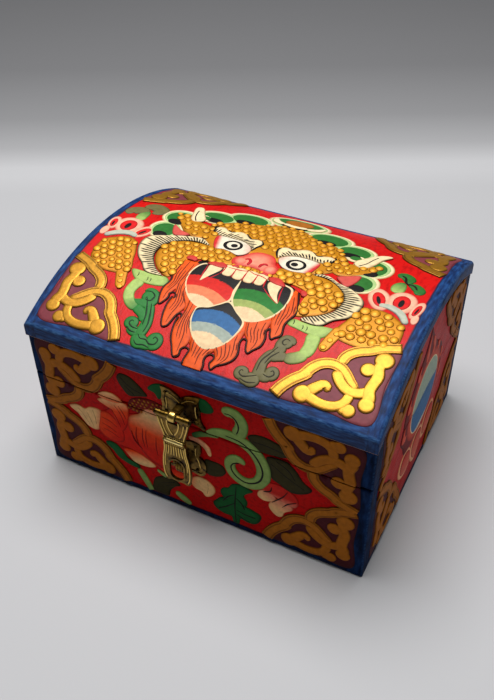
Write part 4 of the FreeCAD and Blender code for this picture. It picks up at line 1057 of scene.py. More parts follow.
def flower(x, v, wide, tall, lean=0):
    """Pink flower head with a red heart and a dark slit."""
    return [oval((x, v), (wide, tall), 0.9, petal_pink, lean=lean, swell=5),
            oval((x, v - 0.6), (wide * 0.56, tall * 0.64), 0.4, heart_red, lean=lean, lift=0.85, swell=5),
            oval((x + 0.1, v - 1.6), (wide * 0.18, tall * 0.36), 0.3, ink, lean=lean, lift=1.2, swell=5)]


posies = (flower(-95, 86, 3.6, 7, 10) + flower(-74, 84.5, 4.6, 8, -30) + flower(-85.5, 87, 8.8, 9)
          + flower(90, 81, 3, 8, -10) + flower(69.5, 82, 6, 9.6, 25) + flower(81, 84, 8, 9.6)
          + [oval((-96, 77), (2.4, 4.6), 0.8, petal_pink), oval((91, 73.5), (2, 4), 0.8, petal_pink)])
posies += [bead([(-83.5, 94), (-84.5, 100), (-84, 107)], [6, 7, 5], 0.9, light_green, fade=leaf_green),
           bead([(-90, 111), (-84, 114.5), (-78, 111.5), (-81, 105)], [6, 11, 10, 5], 1.0, olive),
           bead([(-83, 104.5), (-89, 106), (-94, 102), (-93.5, 98)], [6, 10, 9, 5], 1.0, olive),
           bead([(75.8, 90.6), (75.2, 96), (76.4, 102.4)], [7.6, 8, 5], 0.9, light_green, fade=leaf_green),
           bead([(71.6, 106.6), (74, 109.4), (77.4, 107.4), (78.2, 102)], [6, 7.8, 7.6, 4.4], 1.0,
                leaf_green),
           bead([(78.4, 101.4), (82.6, 101), (85.8, 97.8), (85, 93.8)], [3.6, 6.6, 7.2, 5], 1.0, leaf_green),
           bead([(72.8, 108.8), (75.6, 107), (77, 103), (78.4, 101.2)], [0.8, 1.3, 1.3, 1], 0.4, ink,
                lift=0.95),
           bead([(78, 101), (82, 101), (84.8, 97.4)], [1, 1.3, 0.8], 0.4, ink, lift=0.95)]
lay("top_flowers", on_top, "lid", gesso_paint, posies, flower_nudge)


# Ribbons: pale green at the lion's jaw, they turn down into a dark green scroll on the left
# and an olive one on the right. They are gesso, with dark lines painted along them.
scroll_green, scored_green = (rgb(8, 36, 15), rgb(48, 126, 56)), (rgb(8, 32, 15), rgb(12, 44, 20))
scroll_olive, scored_olive = (rgb(34, 32, 16), rgb(110, 104, 68)), (rgb(32, 30, 15), rgb(46, 42, 24))
ribbon_nudge = 0.2, -0.5


def ribbon(path, width, paint, **more):
    """Length of ribbon: a strip with a nearly flat crown."""
    return bead(path, width, 1.1, paint, swell=5, **more)


def curl(x, v, wide, tall, paint):
    """Round head of a scroll."""
    return oval((x, v), (wide, tall), 1.1, paint, lift=0.15, swell=5, edge=0.2)


left_sleeve = [(-62.6, 52.8), (-56, 53.4), (-48, 53.2), (-41, 53.6), (-38.4, 51), (-39, 47.6), (-43, 46),
               (-49.4, 45.4), (-56, 46), (-60, 48.8)]
right_sleeve = [(33.2, 46.6), (35, 50.8), (40, 50.4), (46, 50.2), (51, 51.4), (57, 51.4), (55.6, 47),
                (52.4, 43.6), (45, 44), (39, 45)]
ribbons = [mound(left_sleeve, (-50, 49.6), 1.1, light_green, swell=5),
           mound(right_sleeve, (45.5, 47.6), 1.1, light_green, swell=5),
           ribbon([(-53, 47.4), (-55, 42), (-55.4, 37.6), (-53.6, 33.4), (-49.6, 30)], [9, 7, 6.4, 6.2, 6],
                  light_green),
           ribbon([(-54.4, 34.8), (-52.4, 32), (-49.4, 30), (-45.6, 28.6)], [6.2, 6.2, 6.2, 6], light_green,
                  lift=0.04, fade=scroll_green),
           ribbon([(-48, 29.6), (-44, 28), (-40.6, 26), (-38, 22)], [5.6, 6, 6, 6], scroll_green, lift=0.08),
           ribbon([(-47.6, 40.8), (-44.4, 41.2), (-41.2, 39.4), (-40.4, 36.2), (-42.6, 33.4), (-47, 32.8),
                   (-51, 33.4)], [4.4, 6, 7.4, 8, 7, 4.4, 1.6], scroll_green, lift=0.1),
           curl(-42.6, 37.8, 4.8, 5.2, scroll_green),
           ribbon([(-40.6, 34), (-38.2, 28), (-36.2, 22), (-36.6, 16), (-37.6, 12)], [6, 6.6, 6.4, 7, 7],
                  scroll_green, lift=0.1),
           ribbon([(-37, 15), (-41.4, 15.6), (-44.6, 18)], [6, 6.4, 6], scroll_green, lift=0.1),
           curl(-44.2, 19.6, 4.3, 4.1, scroll_green),
           ribbon([(-38, 15), (-36, 11), (-31, 10.4), (-26.6, 11)], [7, 8, 7, 7], scroll_green, lift=0.1),
           curl(-35, 10.8, 5, 4.6, scroll_green), curl(-27, 13.2, 4.9, 5.6, scroll_green),
           ribbon([(48.4, 46), (49.6, 40), (49.6, 34.4), (47.4, 30)], [9, 7.4, 7.2, 7.2], light_green),
           ribbon([(49.3, 33), (47.4, 29.8), (44, 27.6), (39.6, 26.6)], [7, 7.2, 7, 6.4], light_green,
                  lift=0.04, fade=scroll_olive),
           ribbon([(42, 27), (38, 26.6), (33, 24)], [6, 6.2, 6], scroll_olive, lift=0.08),
           ribbon([(41.6, 34.4), (40.6, 37), (37.4, 37.4), (36, 34), (36.4, 30), (34, 26)],
                  [3.6, 5, 6, 6.6, 6.8, 6], scroll_olive, lift=0.1),
           curl(37.6, 35.4, 4.2, 4.2, scroll_olive),
           ribbon([(36, 29), (33, 25.2), (31.4, 21), (31.6, 16), (32, 11)], [6, 6.4, 6, 6.6, 7.4],
                  scroll_olive, lift=0.1),
           ribbon([(38.4, 16.4), (36.4, 13.6), (32, 13.4)], [5, 6, 6], scroll_olive, lift=0.1),
           curl(38.2, 16.2, 4, 4.3, scroll_olive),
           ribbon([(23.6, 11.4), (27, 9.4), (32.4, 11.4)], [6, 6.8, 7], scroll_olive, lift=0.1),
           curl(23.6, 11.8, 4.1, 4.1, scroll_olive), curl(29.6, 9.8, 4.8, 4.2, scroll_olive)]
ribbons += lines([[(-46.4, 40.6), (-43, 41), (-40.2, 38.8), (-41, 35.4), (-43.8, 35.4), (-44, 37.6)],
                  [(-43.6, 37), (-41, 31.6), (-38.8, 26.4), (-37.6, 20)],
                  [(-39.4, 34), (-36.6, 27), (-35, 21), (-35.2, 16)],
                  [(-38.6, 17), (-42.4, 17.2), (-45, 19), (-44.2, 21), (-42.8, 20.2)],
                  [(-39, 14.6), (-42.4, 14.8), (-45.6, 16.8)],
                  [(-37.4, 14.6), (-35, 12.4), (-31.6, 12.6), (-29, 11), (-26, 11.6), (-25.4, 14.6),
                   (-27.6, 15.6), (-28, 13.8)],
                  [(-38, 10.6), (-35.4, 8.6), (-31.6, 9.4), (-28, 8.8)]], scored_green, 1.2, 1.0)
ribbons += lines([[(39.8, 36.4), (37.4, 37.2), (36, 35), (37.4, 33.4), (38.8, 34.4)],
                  [(35.4, 31.6), (33, 26.4), (30.6, 21.4), (30.4, 15)],
                  [(37.2, 29), (34, 24.6), (32.6, 20)],
                  [(34, 14.6), (37.6, 14), (39.6, 16), (38.4, 17.8), (37.2, 16.6)],
                  [(31.8, 13), (28.6, 11.4), (25, 10.2), (22.6, 11.6), (23.4, 13.4), (24.6, 12.6)],
                  [(23.8, 8.8), (28.4, 7.8), (32.8, 9)]], scored_olive, 1.2, 0.9)
folds = (41.5, 47), (43.8, 46.8), (36, 48.6), (-50.5, 48.6), (-48.5, 48.4), (-57, 50)
ribbons += lines([[(x - 0.5, v + 1.8), (x + 0.4, v), (x + 0.2, v - 1.8)] for x, v in folds], ink, 0.98)
lay("top_ribbons", on_top, "lid", gesso_paint, ribbons, ribbon_nudge)


# Corner scrolls of the front: the same four scrolls in gesso, in a gold and maroon painted darker than on the
# top, as painted shade of the upright walls. The upper two run over the lid's edge and are sawn through there
# with the boards.
saw_margin = 0.2 * mm
# The walls' gold and maroon are the top's made darker: painted shade.
shaded_gold = rgb(58, 26, 3), rgb(168, 98, 20)
shaded_maroon = rgb(40, 12, 14), rgb(76, 24, 30)
front_field = -94.5, 93.5, 4.6, 95.3


def on_front(u, v, h):
    """The drawing's u runs along the chest and its v up the front from the floor."""
    return np.c_[u * mm, -half_depth - h * gesso_coat, v * mm]


def lay_parted(name, panel, material, shapes):
    """Lays shapes across the joint of lid and base and saws them there: what is above rides the
    lid and what is below the base. The sawn ends are closed."""
    for body, height, keep in (("lid", lid_rim + saw_margin, 1), ("base", base_rim - saw_margin, -1)):
        piece = lay(f"{body}_{name}", panel, body, material, shapes)
        sawn = bmesh.new()
        sawn.from_mesh(piece.data)
        bmesh.ops.bisect_plane(sawn, geom=[*sawn.verts, *sawn.edges, *sawn.faces],
                               plane_co=(0, 0, height), plane_no=(0, 0, keep), clear_inner=True)
        bmesh.ops.holes_fill(sawn, edges=[edge for edge in sawn.edges if edge.is_boundary])
        sawn.to_mesh(piece.data)
        sawn.free()


wall_paint = ornament_paint("wall_paint", 0.55, 0.05)
front_corners = corners(*front_field)
lay_parted("front_corner_ground", on_front, wall_paint,
           sum((corner_ground(at, shaded_maroon) for at in front_corners), []))
lay_parted("front_corner_scrolls", on_front, wall_paint,
           sum((corner_scroll(at, paint=shaded_gold) for at in front_corners), []))


# Lotus on the front: an open orange flower half behind the latch, its petals turning cream at
# their tips, with a dark seed head that stands up into the lid. It is painted gesso, petal over
# petal.
petal_orange = rgb(170, 24, 5), rgb(230, 68, 16)
petal_red = rgb(140, 10, 4), rgb(208, 28, 8)
petal_cream = rgb(196, 104, 54), rgb(234, 186, 126)
lotus_pink = rgb(170, 60, 44), rgb(222, 124, 98)
petal_line = rgb(116, 8, 4), rgb(128, 12, 6)
cream_line = rgb(156, 104, 56), rgb(168, 116, 66)
seed_red = rgb(74, 8, 8), rgb(120, 16, 12)
# Seed paint: dark ring, body, and a paler tip that is a painted highlight.
seed_gold_and_highlight = rgb(54, 16, 5), rgb(124, 62, 14), rgb(160, 92, 26)


def graded(start, stop, *paints):
    """Paint that changes evenly through the given paints from one spot to another."""
    along = np.subtract(stop, start)

    def tint(x, y, crest):
        share = ((x - start[0]) * along[0] + (y - start[1]) * along[1]) / (along @ along)
        place = np.clip(share, 0, 1) * (len(paints) - 1)
        return sum(shade(paint, crest) * np.clip(1 - np.abs(place - n), 0, 1)[:, None]
                   for n, paint in enumerate(paints))
    return tint


def petal(outline, centre, height, *grade, lift=0.0):
    """Petal whose paint is graded from one spot to another."""
    return mound(outline, centre, height, petal_cream, lift=lift, swell=4, edge=0.12, rings=14, spacing=0.8,
                 colour=graded(*grade))


seed_head = [(-38.5, 67), (-36.5, 73.5), (-31, 77), (-24, 78.5), (-17, 77.5), (-11, 74), (-11, 67), (-25, 65)]
lotus = [mound(seed_head, (-25, 71), 1.0, seed_red, swell=6),
         mound([(-57.5, 36.5), (-61, 45), (-60, 54), (-54, 58.5), (-48, 64), (-40, 62), (-30, 66),
                (-16, 66), (-4, 62), (3, 56), (6, 45), (3, 34), (-4, 26.5), (-12, 24), (-20, 25.5),
                (-30, 30), (-40, 33.5), (-49, 34)], (-28, 44), 0.8, petal_red, swell=10, edge=0.05),
         petal([(-60.5, 41), (-59, 50), (-57, 56.5), (-52, 57), (-46.5, 52), (-43.5, 45), (-44.5, 38),
                (-51, 35), (-57, 36.5)], (-52, 46), 0.7, (-60, 48), (-46, 42), petal_orange, petal_red,
               lift=0.7),
         petal([(-58.5, 64.6), (-55, 67.5), (-50, 70), (-44, 70), (-39, 68), (-38.5, 61), (-41, 51),
                (-44.5, 46), (-48, 53), (-50.5, 62)], (-46, 60), 0.8, (-48, 69), (-44, 54), petal_cream,
               petal_orange, petal_red, lift=0.7),
         petal([(-40, 54), (-38, 60.5), (-32, 65), (-28, 69.2), (-17, 69.8), (-8, 66), (-5, 58), (-6, 46),
                (-10, 34), (-18, 28), (-28, 31), (-35, 40), (-39, 48)], (-22, 50), 0.9, (-23, 66),
               (-26, 40), petal_cream, petal_orange, petal_red, lift=0.8),
         petal([(-79.5, 51.3), (-76, 54), (-73, 54.6), (-69, 53.3), (-65, 56), (-60, 56.8), (-57, 56),
                (-58, 50), (-59.5, 44), (-61, 40), (-64, 38.7), (-68.5, 40), (-71.5, 43.5), (-74.5, 47.5)],
               (-66, 48), 1.5, (-62, 48), (-56, 47), petal_cream, petal_orange),
         petal([(-58, 68.6), (-54, 72.2), (-48, 73.2), (-43, 70.8), (-42, 68), (-50, 66)], (-50, 69.6), 1.2,
               (-50, 73), (-49, 66), petal_cream, petal_orange, lift=0.4),
         petal([(-29, 68.4), (-26.5, 71), (-21, 71.8), (-15, 71), (-13, 68), (-22, 66)], (-21, 69), 1.2,
               (-20, 72), (-20, 66.5), lotus_pink, petal_cream, lift=0.6),
         petal([(-45.5, 32), (-41, 33.5), (-35, 32.8), (-29, 30.2), (-24.5, 27), (-27, 24.8), (-33, 23.4),
                (-39, 24), (-42.5, 27.5)], (-35, 28.4), 1.4, (-36, 33.5), (-34.5, 26.5), petal_orange,
               petal_cream, lift=0.4),
         petal([(-22, 27), (-16, 30.5), (-8, 30.5), (-3, 27.5), (-9, 24), (-16, 23.6)], (-13, 27), 1.0,
               (-14, 30), (-12, 24), petal_red, petal_orange, lift=0.5),
         petal([(-2.5, 25), (-1, 30), (3, 32.4), (8, 31.8), (12.3, 28), (13, 25), (11.2, 20.6), (7, 17.4),
                (4.4, 20.4), (0, 21.5)], (5, 26), 1.6, (-4, 27), (2, 26), petal_orange, petal_cream),
         bead([(-2, 60.6), (4, 60.6), (9, 57.4), (11, 51.5)], [3, 4, 4, 2], 1.2, lotus_pink,
              fade=petal_cream)]
lotus += lines([[(-57.5, 52), (-52, 51), (-47.5, 48)], [(-58, 47.5), (-53, 46), (-48, 43.4)],
                [(-57.5, 43.5), (-52, 42.3), (-47, 39.8)]], petal_line, 1.3)
lotus += lines([[(-47.6, 65.5), (-44, 60), (-42, 52)], [(-44.8, 66), (-42, 61), (-40.6, 57)],
                [(-49.6, 61), (-46.8, 55), (-44.8, 49)]], petal_line, 1.4)
lotus += lines([[(-34.2, 54.5), (-35.2, 47), (-34.4, 41)], [(-30.2, 55.5), (-31, 47), (-30.2, 40.5)],
                [(-28, 55), (-28.8, 48), (-28.4, 40.5)], [(-38, 50), (-36.6, 43), (-32, 38)],
                [(-22, 52), (-22.6, 44), (-22, 37)]], petal_line, 1.6, 0.8)
lotus += lines([[(-73, 52.5), (-69.6, 48), (-66.4, 42)], [(-67.5, 52), (-65.6, 47), (-64, 41.6)],
                [(-63, 55), (-62, 50), (-61.8, 44)], [(3, 30.4), (4.6, 26), (5, 21.8)],
                [(8.6, 30), (8.8, 26), (7.8, 20.6)], [(-40, 31), (-38, 28), (-36.4, 25)],
                [(-33, 31), (-32, 28), (-31, 25)]], cream_line, 1.35, 0.5)
lay_parted("front_lotus", on_front, wall_paint, lotus)
lay_parted("front_seeds", on_front, wall_paint,
           [pebbles(seed_head, (-25, 71), 0.95, 31, gap=2.6, radius=0.8, paint=seed_gold_and_highlight)])


# Leaves and scroll of the front: a light green scroll with a dark line along it, dark olive and
# green leaves, and a pink bud with cream tips, all in painted gesso.
dark_olive = rgb(20, 17, 6), rgb(54, 48, 20)
bud_red = rgb(130, 10, 8), rgb(196, 34, 26)
# The front's light green is the top's painted darker, as painted shade of the front.
shaded_light_green = rgb(62, 84, 34), rgb(136, 164, 88)
dark_green = rgb(8, 40, 18), rgb(22, 88, 40)
leaves = [mound([(-43.5, 86), (-41.5, 90), (-36, 90.4), (-31, 87.4), (-27, 83.4), (-25, 80.4), (-30, 78),
                 (-37, 76), (-40.5, 79.5)], (-35, 83.5), 1.2, dark_olive),
          mound([(33, 77), (36, 79.6), (41, 80.8), (48, 79.8), (53, 77.8), (56.5, 74.5), (54, 71),
                 (48, 69.8), (39, 69.4), (35.5, 72.5)], (45, 75), 1.2, dark_olive),
          mound([(43.5, 67), (48, 68.4), (55, 68.4), (60, 64.5), (64, 58.5), (69, 54.5), (67, 51),
                 (61, 47.5), (56, 47), (51, 50), (46.5, 52.5), (46, 58)], (55, 58.5), 1.2, dark_olive),
          mound([(7.5, 48), (12, 48.8), (18, 48), (20, 44), (18, 40), (13, 37), (8, 37.4)], (13, 43), 1.1,
                dark_olive),
          mound([(-28.5, 5.4), (-28, 12), (-26, 17), (-21, 20.4), (-13, 21.4), (-9.4, 18.2), (-12.6, 15.8),
                 (-16.6, 10.4), (-18, 5.2), (-24, 4.8)], (-22, 12.4), 1.3, dark_olive),
          mound([(-24.5, 86), (-20.5, 91), (-14, 92.6), (-10, 89), (-15, 85), (-18, 81), (-20.5, 84.6)],
                (-17.5, 87.6), 1.1, dark_green),
          mound([(4, 91), (9, 92.4), (13, 89.6), (14.4, 86), (11, 83), (5, 83)], (9, 87.6), 1.1, dark_green),
          mound([(-58, 31), (-56, 33.4), (-51, 33.4), (-47, 30), (-43, 24.4), (-36, 22), (-36, 19.4),
                 (-42, 19.4), (-50, 22.6), (-53.4, 27)], (-48, 26.5), 1.4, dark_green),
          bead([(-37, 19.4), (-33.6, 13), (-29.6, 5)], [4.6, 5, 4.4], 1.3, shaded_light_green, swell=4, ends=(1, 0)),
          bead([(-13, 12), (-8.5, 8.6), (-3, 5.4)], [4, 5.4, 3.4], 1.2, shaded_light_green, swell=4),
          bead([(-24.4, 24.6), (-21, 22.8), (-17.6, 21)], [2, 2.8, 3], 1.0, shaded_light_green, swell=4)]
leaves += lines([[(-41, 88), (-35, 83), (-28, 81)], [(-39, 83), (-35, 80), (-33, 78)],
                 [(36, 75), (44, 75.4), (54, 74)], [(46, 64), (55, 58), (65, 53)],
                 [(49, 67), (56, 63), (60, 57)], [(-26, 7), (-23, 14), (-13, 19.4)],
                 [(-55, 31.6), (-49, 27), (-41, 21)], [(-22, 11), (-19, 14), (-14, 17)]], ink, 1.05, 0.7)
scroll = [bead([(0.5, 62.8), (5, 65.8), (10, 68), (17, 69.4)], [3.4, 4, 3.6, 2.4], 1.0, dark_green,
               fade=shaded_light_green),
          bead([(26.6, 74), (29.4, 79.6), (29.7, 85), (26.8, 89), (22.4, 89.2), (20.2, 86.2)],
               [9, 8, 7.4, 7, 7.4, 7], 1.4, shaded_light_green, swell=4),
          bead([(9, 69.6), (15, 72), (22, 73), (29, 72), (35.5, 68.5), (40, 62.5), (42, 56), (41.6, 50),
                (38.8, 44.8), (34, 42), (29, 42.4), (24.8, 45.4), (22.6, 50), (23.2, 54.8), (26.2, 57.6),
                (29.6, 57), (31, 54.6)],
               [2, 5.5, 7, 7.6, 8, 8.4, 8.6, 8.6, 8.4, 8, 7.6, 7.2, 6.6, 5.6, 3.6], 1.4, shaded_light_green,
               swell=4, lift=0.1)]
scroll += [bead([(20.5, 88), (24, 88.2), (27, 85.8), (28.4, 82), (28, 78.5), (27, 76)], [0.5, 1, 1, 0.5],
                0.3, ink, lift=1.3, spacing=0.7),
           bead([(20.5, 72.6), (29.6, 71.6), (36, 67), (40.4, 60.4), (41.8, 54), (40.2, 47.8), (36, 43.8),
                 (31.4, 42.6), (27, 44.4), (24, 48), (23.6, 51.6), (25.5, 54.2), (28.5, 55.2)],
                [0.6, 1.2, 1.2, 1.2, 1.1, 0.6], 0.3, ink, lift=1.4, spacing=0.7)]
bud = [petal([(42, 46.5), (48, 49.5), (55, 48.5), (60.5, 45), (62, 40.5), (60, 36), (54, 37), (48, 39.5),
              (41, 41)], (52, 43.5), 1.2, (52, 47), (51, 37), bud_red, bud_red, lotus_pink),
       petal([(38.5, 35.5), (40, 40.5), (45, 41.6), (49.5, 38.5), (47, 34.8), (42, 33.2)], (43.5, 37.6),
             1.3, (46, 41), (42, 36), lotus_pink, petal_cream, lift=0.2),
       petal([(45, 31), (46.5, 35), (50.5, 38.5), (58.5, 37), (59, 34), (54.5, 29.5), (53, 25.5),
              (50.5, 24.3), (46.5, 27.2)], (50.5, 32), 1.4, (53, 38.5), (49.6, 29), lotus_pink, petal_cream,
             lift=0.2)]
bud += lines([[(47, 46.5), (46, 42.6), (42, 40.6)], [(56, 47), (53.4, 42), (47, 34.4)],
              [(61, 41), (56, 37.4), (51, 30.5)]], ink, 1.35, 0.8)
toothed = [mound([(28, 38.5), (32, 38), (36, 36.5), (32.5, 33), (30.5, 30), (32.5, 26), (31, 21), (20, 21),
                  (16, 26), (17.5, 30.5), (21, 32.5), (23, 36)], (25.5, 29), 1.2, dark_green),
           mound([(31.5, 22), (36, 21), (40.5, 19), (40, 14), (36.5, 9.5), (32, 9), (28.2, 9.8), (27, 4.8),
                  (23.6, 4.8), (22.4, 9), (18, 9), (13, 11), (11, 15), (13.5, 19), (16, 22), (24, 25)],
                 (25.5, 15.5), 1.3, dark_green)]
toothed += lines([[(26, 36), (25, 20), (25.4, 5.4)], [(25, 29), (20.6, 25), (17.6, 20)],
                  [(25, 22), (19, 16), (14.6, 12.6)], [(25.2, 27), (29, 23.6), (31, 19)],
                  [(25.2, 17), (31, 15.6), (37.6, 15.6)], [(25.3, 13), (30, 11.4), (34, 10.4)]],
                 ink, 1.25, 0.9)
lay_parted("front_leaves", on_front, wall_paint, leaves + toothed + bud + scroll)


# Sides: on each a banded jewel in a ring of flames over lotus petals, with a gold scroll in
# every corner, all in painted gesso. The upper scrolls follow the arch.
side_field, side_foot, arch_margin = 69, 4.6, 0.8
low_stretch, high_size = (0.9, 1.12), 0.92
flame = rgb(70, 8, 12), rgb(120, 22, 24)
flame_inner = rgb(150, 30, 24), rgb(220, 86, 62)
rim_cream = rgb(206, 112, 76), rgb(240, 178, 132)
jewel_grey, jewel_blue, jewel_pale = rgb(168, 184, 164), rgb(64, 112, 160), rgb(206, 206, 190)


def on_right(u, v, h):
    """The drawing's u runs from the front to the back and its v up from the floor."""
    return np.c_[half_width + h * gesso_coat, u * mm, v * mm]


def on_left(u, v, h):
    """The right side's drawing seen in a mirror: u runs from the back to the front."""
    return np.c_[-half_width - h * gesso_coat, -u * mm, v * mm]


def under_arch(y):
    """Height of the top panel's hollow face over a side, less a margin, in millimetres: the root
    of its radius squared minus y squared, over the arch's axis."""
    return (arch_centre + np.sqrt((arch_radius - top_thickness) ** 2 - (y * mm) ** 2)) / mm - arch_margin


def side_low(sign):
    """Places the corner drawing at the foot of a side, at its left for 1 and its right for -1."""
    return lambda p, q: (sign * (low_stretch[0] * p - side_field), side_foot + low_stretch[1] * q)


def side_high(sign):
    """Places it in the same way at the top of a side, where its edge follows the arch."""
    return lambda p, q: (sign * (high_size * p - side_field),
                         under_arch(high_size * p - side_field) - high_size * q)


side_places = [side_low(1), side_low(-1), side_high(1), side_high(-1)]
side_ground = sum((corner_ground(at, shaded_maroon) for at in side_places), [])
side_scrolls = sum((corner_scroll(at, 0.95, paint=shaded_gold) for at in side_places), [])
turn = np.linspace(0, 2 * np.pi, 16, endpoint=False)
jewel_edge = np.c_[22.5 * np.cos(turn), 66.5 + 23 * np.sin(turn)]
jewel_bands = [(71.5, 0.006, jewel_grey), (48.5, 0.004, jewel_blue), (0, 0, jewel_pale)]
flame_ring = np.c_[27.5 * np.cos(turn) - 0.5, 67 + 27.5 * np.sin(turn)]
tongues = [([(-4, 93), (-5.5, 99), (-4.4, 105), (-3, 110)], [7, 6, 4, 0.8]),
           ([(5, 91), (6.6, 96), (4.6, 101), (1.6, 106)], [6, 5, 4, 0.8]),
           ([(-14, 89), (-18, 92), (-15, 98)], [5, 5, 0.8]),
           ([(15, 87), (18.5, 88), (15, 92.5)], [5, 4.4, 0.8]),
           ([(-25, 77), (-29.6, 79), (-27, 85.4)], [5, 5, 0.8]),
           ([(25, 73), (28.4, 75), (26, 81)], [5, 4, 0.8]),
           ([(-27, 58), (-32.4, 60), (-32, 69)], [5, 5, 0.8]),
           ([(26, 58), (29, 61), (28.6, 68)], [4, 4, 0.8])]
emblem = [mound([(-24, 41), (-30, 51), (-36, 60), (-34.5, 70), (-33, 80), (-26, 88), (-17, 97), (-10, 103),
                 (-6, 109.5), (-3, 114.6), (0.5, 110), (5, 104), (12, 96), (20, 89.5), (27, 83), (30.5, 75),
                 (31, 63), (27, 53), (20, 44), (0, 39)], (-1, 68), 0.9, flame, swell=10, edge=0.05),
          mound(flame_ring, (-0.5, 67), 0.5, flame_inner, lift=0.7, swell=8),
          *(bead(path, width, 0.6, flame_inner, lift=0.7) for path, width in tongues),
          mound(jewel_edge, (0, 66.5), 1.3, ivory, lift=0.9, swell=3, spacing=0.8, rings=34, edge=0.1,
                colour=banded(0.0, jewel_bands))]
lotus_petals = [([(-31.5, 36), (-31, 29), (-26, 23), (-18, 19.5), (-11, 21), (-9, 28), (-12, 36),
                  (-20, 41), (-28, 41)], (-20, 30)),
                ([(32, 34), (32.5, 28), (28, 22), (20, 19), (12, 20.5), (8.5, 27), (11, 36),
                  (20, 42), (28, 40)], (20, 30)),
                ([(-9.5, 35), (-10, 26), (-5.4, 17.5), (0, 13.5), (5.4, 17.2), (10, 25.5), (9.5, 35),
                  (0, 39.5)], (0, 27))]
for outline, centre in lotus_petals:
    inside = np.array(centre) + 0.8 * np.subtract(outline, centre) + (0, 0.9)
    emblem += [mound(outline, centre, 1.1, rim_cream, swell=6, edge=0.08),
               petal(inside, centre, 0.5, (centre[0], 40), (centre[0], 20), bud_red, lotus_pink, lift=1.0)]
for side, panel in (("right", on_right), ("left", on_left)):
    lay_parted(f"{side}_corner_ground", panel, wall_paint, side_ground)
    lay_parted(f"{side}_corner_scrolls", panel, wall_paint, side_scrolls)
    lay_parted(f"{side}_flaming_jewel", panel, wall_paint, emblem)


# Back: plain red with the corner scrolls in painted gesso, large ones on the base and small ones
# on the lid, clear of the edges that meet when it stands open.
back_field, lid_scroll_size = (-93.5, 93.5, 4.6, 95.3), 0.4


def on_back(u, v, h):
    """The drawing's u runs along the chest as seen from behind and its v up from the floor."""
    return np.c_[-u * mm, half_depth + h * gesso_coat, v * mm]


back_low, back_high = corners(*back_field)[::2], corners(*back_field, size=lid_scroll_size)[1::2]
for body, places, size, height in (("base", back_low, 1.0, 2.0), ("lid", back_high, lid_scroll_size, 1.0)):
    lay(f"{body}_back_corner_ground", on_back, body, wall_paint,
        sum((corner_ground(at, shaded_maroon) for at in places), []))
    lay(f"{body}_back_corner_scrolls", on_back, body, wall_paint,
        sum((corner_scroll(at, size, height, shaded_gold) for at in places), []))


# Cast ornament of the latch: ribs, rows of beads and a waist on the hasp, fanned flutes below the waist, a
# line inside each plate's rim and a sleeve round the hasp's pin. All are cast in one with the brass that they
# stand on. The waist is painted pale as a painted highlight.
hasp_thickness, plate_dish = 1.2 * mm, 0.5 * mm
latch_x, hasp_pin_y, hasp_pin_z = np.mean(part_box("hasp_pin"), axis=0)
hasp_face = hasp_pin_y - hasp_thickness / 2
plate_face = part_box("hasp_plate")[0][1] + plate_dish
rubbed_and_highlit_brass = ornament_paint("rubbed_and_highlit_brass", 0.3, 0.5, 1.0)
# Ribs go near black at their feet and bright on their crests: toning and wear, and also painted shade and
# painted highlight.
cast = rgb(14, 10, 4), rgb(214, 178, 94)
# The waist's pale paint is a painted highlight.
waist_painted_highlight = rgb(150, 116, 52), rgb(255, 228, 146)


def on_hasp(u, v, h):
    """The drawing's u runs across from the hasp's middle, v is the height and h millimetres."""
    return np.c_[latch_x + u * mm, hasp_face - h * mm, v * mm]


def on_plates(u, v, h):
    """The same on the dished field of the plates."""
    return np.c_[latch_x + u * mm, plate_face - h * mm, v * mm]


def both_ways(paths, width, height):
    """A rib along each line and along its mirror image."""
    return [bead([(sign * x, z) for x, z in path], width, height, cast, spacing=0.5, swell=2.5)
            for path in paths for sign in (-1, 1)]


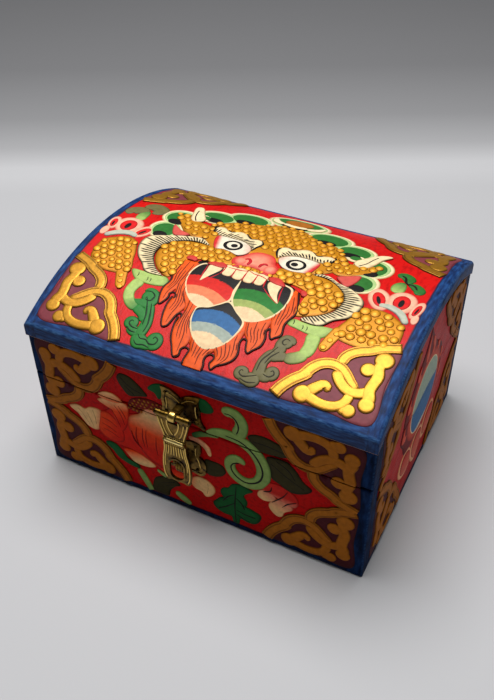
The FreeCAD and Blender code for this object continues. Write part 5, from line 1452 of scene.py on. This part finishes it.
ribs = both_ways([[(8.9, 80.3), (7.9, 75.6), (6.6, 71.2), (5.5, 67)],
                  [(3.35, 80), (3.4, 77), (2.4, 73.2), (0.4, 69.6)],
                  [(6.2, 63.2), (6.3, 58), (7.5, 51), (7.9, 45), (7.4, 38), (6.2, 35)]], 0.9, 0.45)
ribs += both_ways([[(6.6, 79.4), (5.8, 75), (4.6, 71), (3, 68)], [(5, 61.6), (5.5, 56), (6.6, 50), (6.7, 44)],
                   [(3.6, 61.6), (3.8, 57.6), (4.6, 53.8)], [(2.2, 61.6), (2.3, 57.6), (2.7, 54)],
                   [(0.75, 61.6), (0.75, 57.6), (0.9, 54)]], 0.75, 0.4)
ribs += [oval((x, z), (0.5, 0.5), 0.45, cast, swell=2.5, rings=4, spacing=0.5)
         for z in (67.4, 62.6) for x in np.linspace(-4.6, 4.6, 9)]
ribs.append(bead([(-6.4, 65), (0, 65), (6.4, 65)], 2.6, 1.3, waist_painted_highlight))
lay("hasp_ornament", on_hasp, "hasp", rubbed_and_highlit_brass, ribs)
lay("hasp_plate_ornament", on_plates, "lid", rubbed_and_highlit_brass,
    both_ways([[(0.4, 84.6), (4.6, 88), (8.8, 89)], [(8.6, 86), (8.4, 82), (9, 77.4)]], 0.8, 0.45))
lay("staple_plate_ornament", on_plates, "base", rubbed_and_highlit_brass,
    both_ways([[(7, 55), (6.8, 50), (8.4, 45), (9.4, 40)]], 0.8, 0.45))


def eye_sleeve(half, inner, outer, sides):
    """Sleeve round the hasp's pin: a ring whose outside swells as the root of 1 minus the offset
    along the pin to the fourth power."""
    a = np.sin(np.linspace(-np.pi / 2, np.pi / 2, 11))
    reach = np.r_[inner + (outer - inner) * np.sqrt(np.maximum(1 - a**4, 0)), inner]
    along = np.r_[a * half, 0.0]
    turn = np.linspace(0, 2 * np.pi, sides, endpoint=False)[:, None]
    points = np.stack([along + 0 * turn, reach * np.cos(turn), reach * np.sin(turn)], -1)
    ring = len(along)
    i, j = np.meshgrid(np.arange(sides), np.arange(ring), indexing="ij")
    k, m = (i + 1) % sides, (j + 1) % ring
    quads = np.stack([i * ring + j, i * ring + m, k * ring + m, k * ring + j], -1).reshape(-1, 4)
    crest = np.clip((1 - np.abs(np.r_[a, 1.0])) / 0.2, 0, 1)
    return points.reshape(-1, 3), quads.tolist(), np.tile(shade(cast, crest), (sides, 1))


def at_pin(u, v, h):
    """Along the pin, out from the front and up."""
    return np.c_[latch_x + u * mm, hasp_pin_y + v * mm, hasp_pin_z + h * mm]


lay("hasp_eye_sleeve", at_pin, "lid", rubbed_and_highlit_brass, [eye_sleeve(2.25, 1.9, 2.9, 40)])
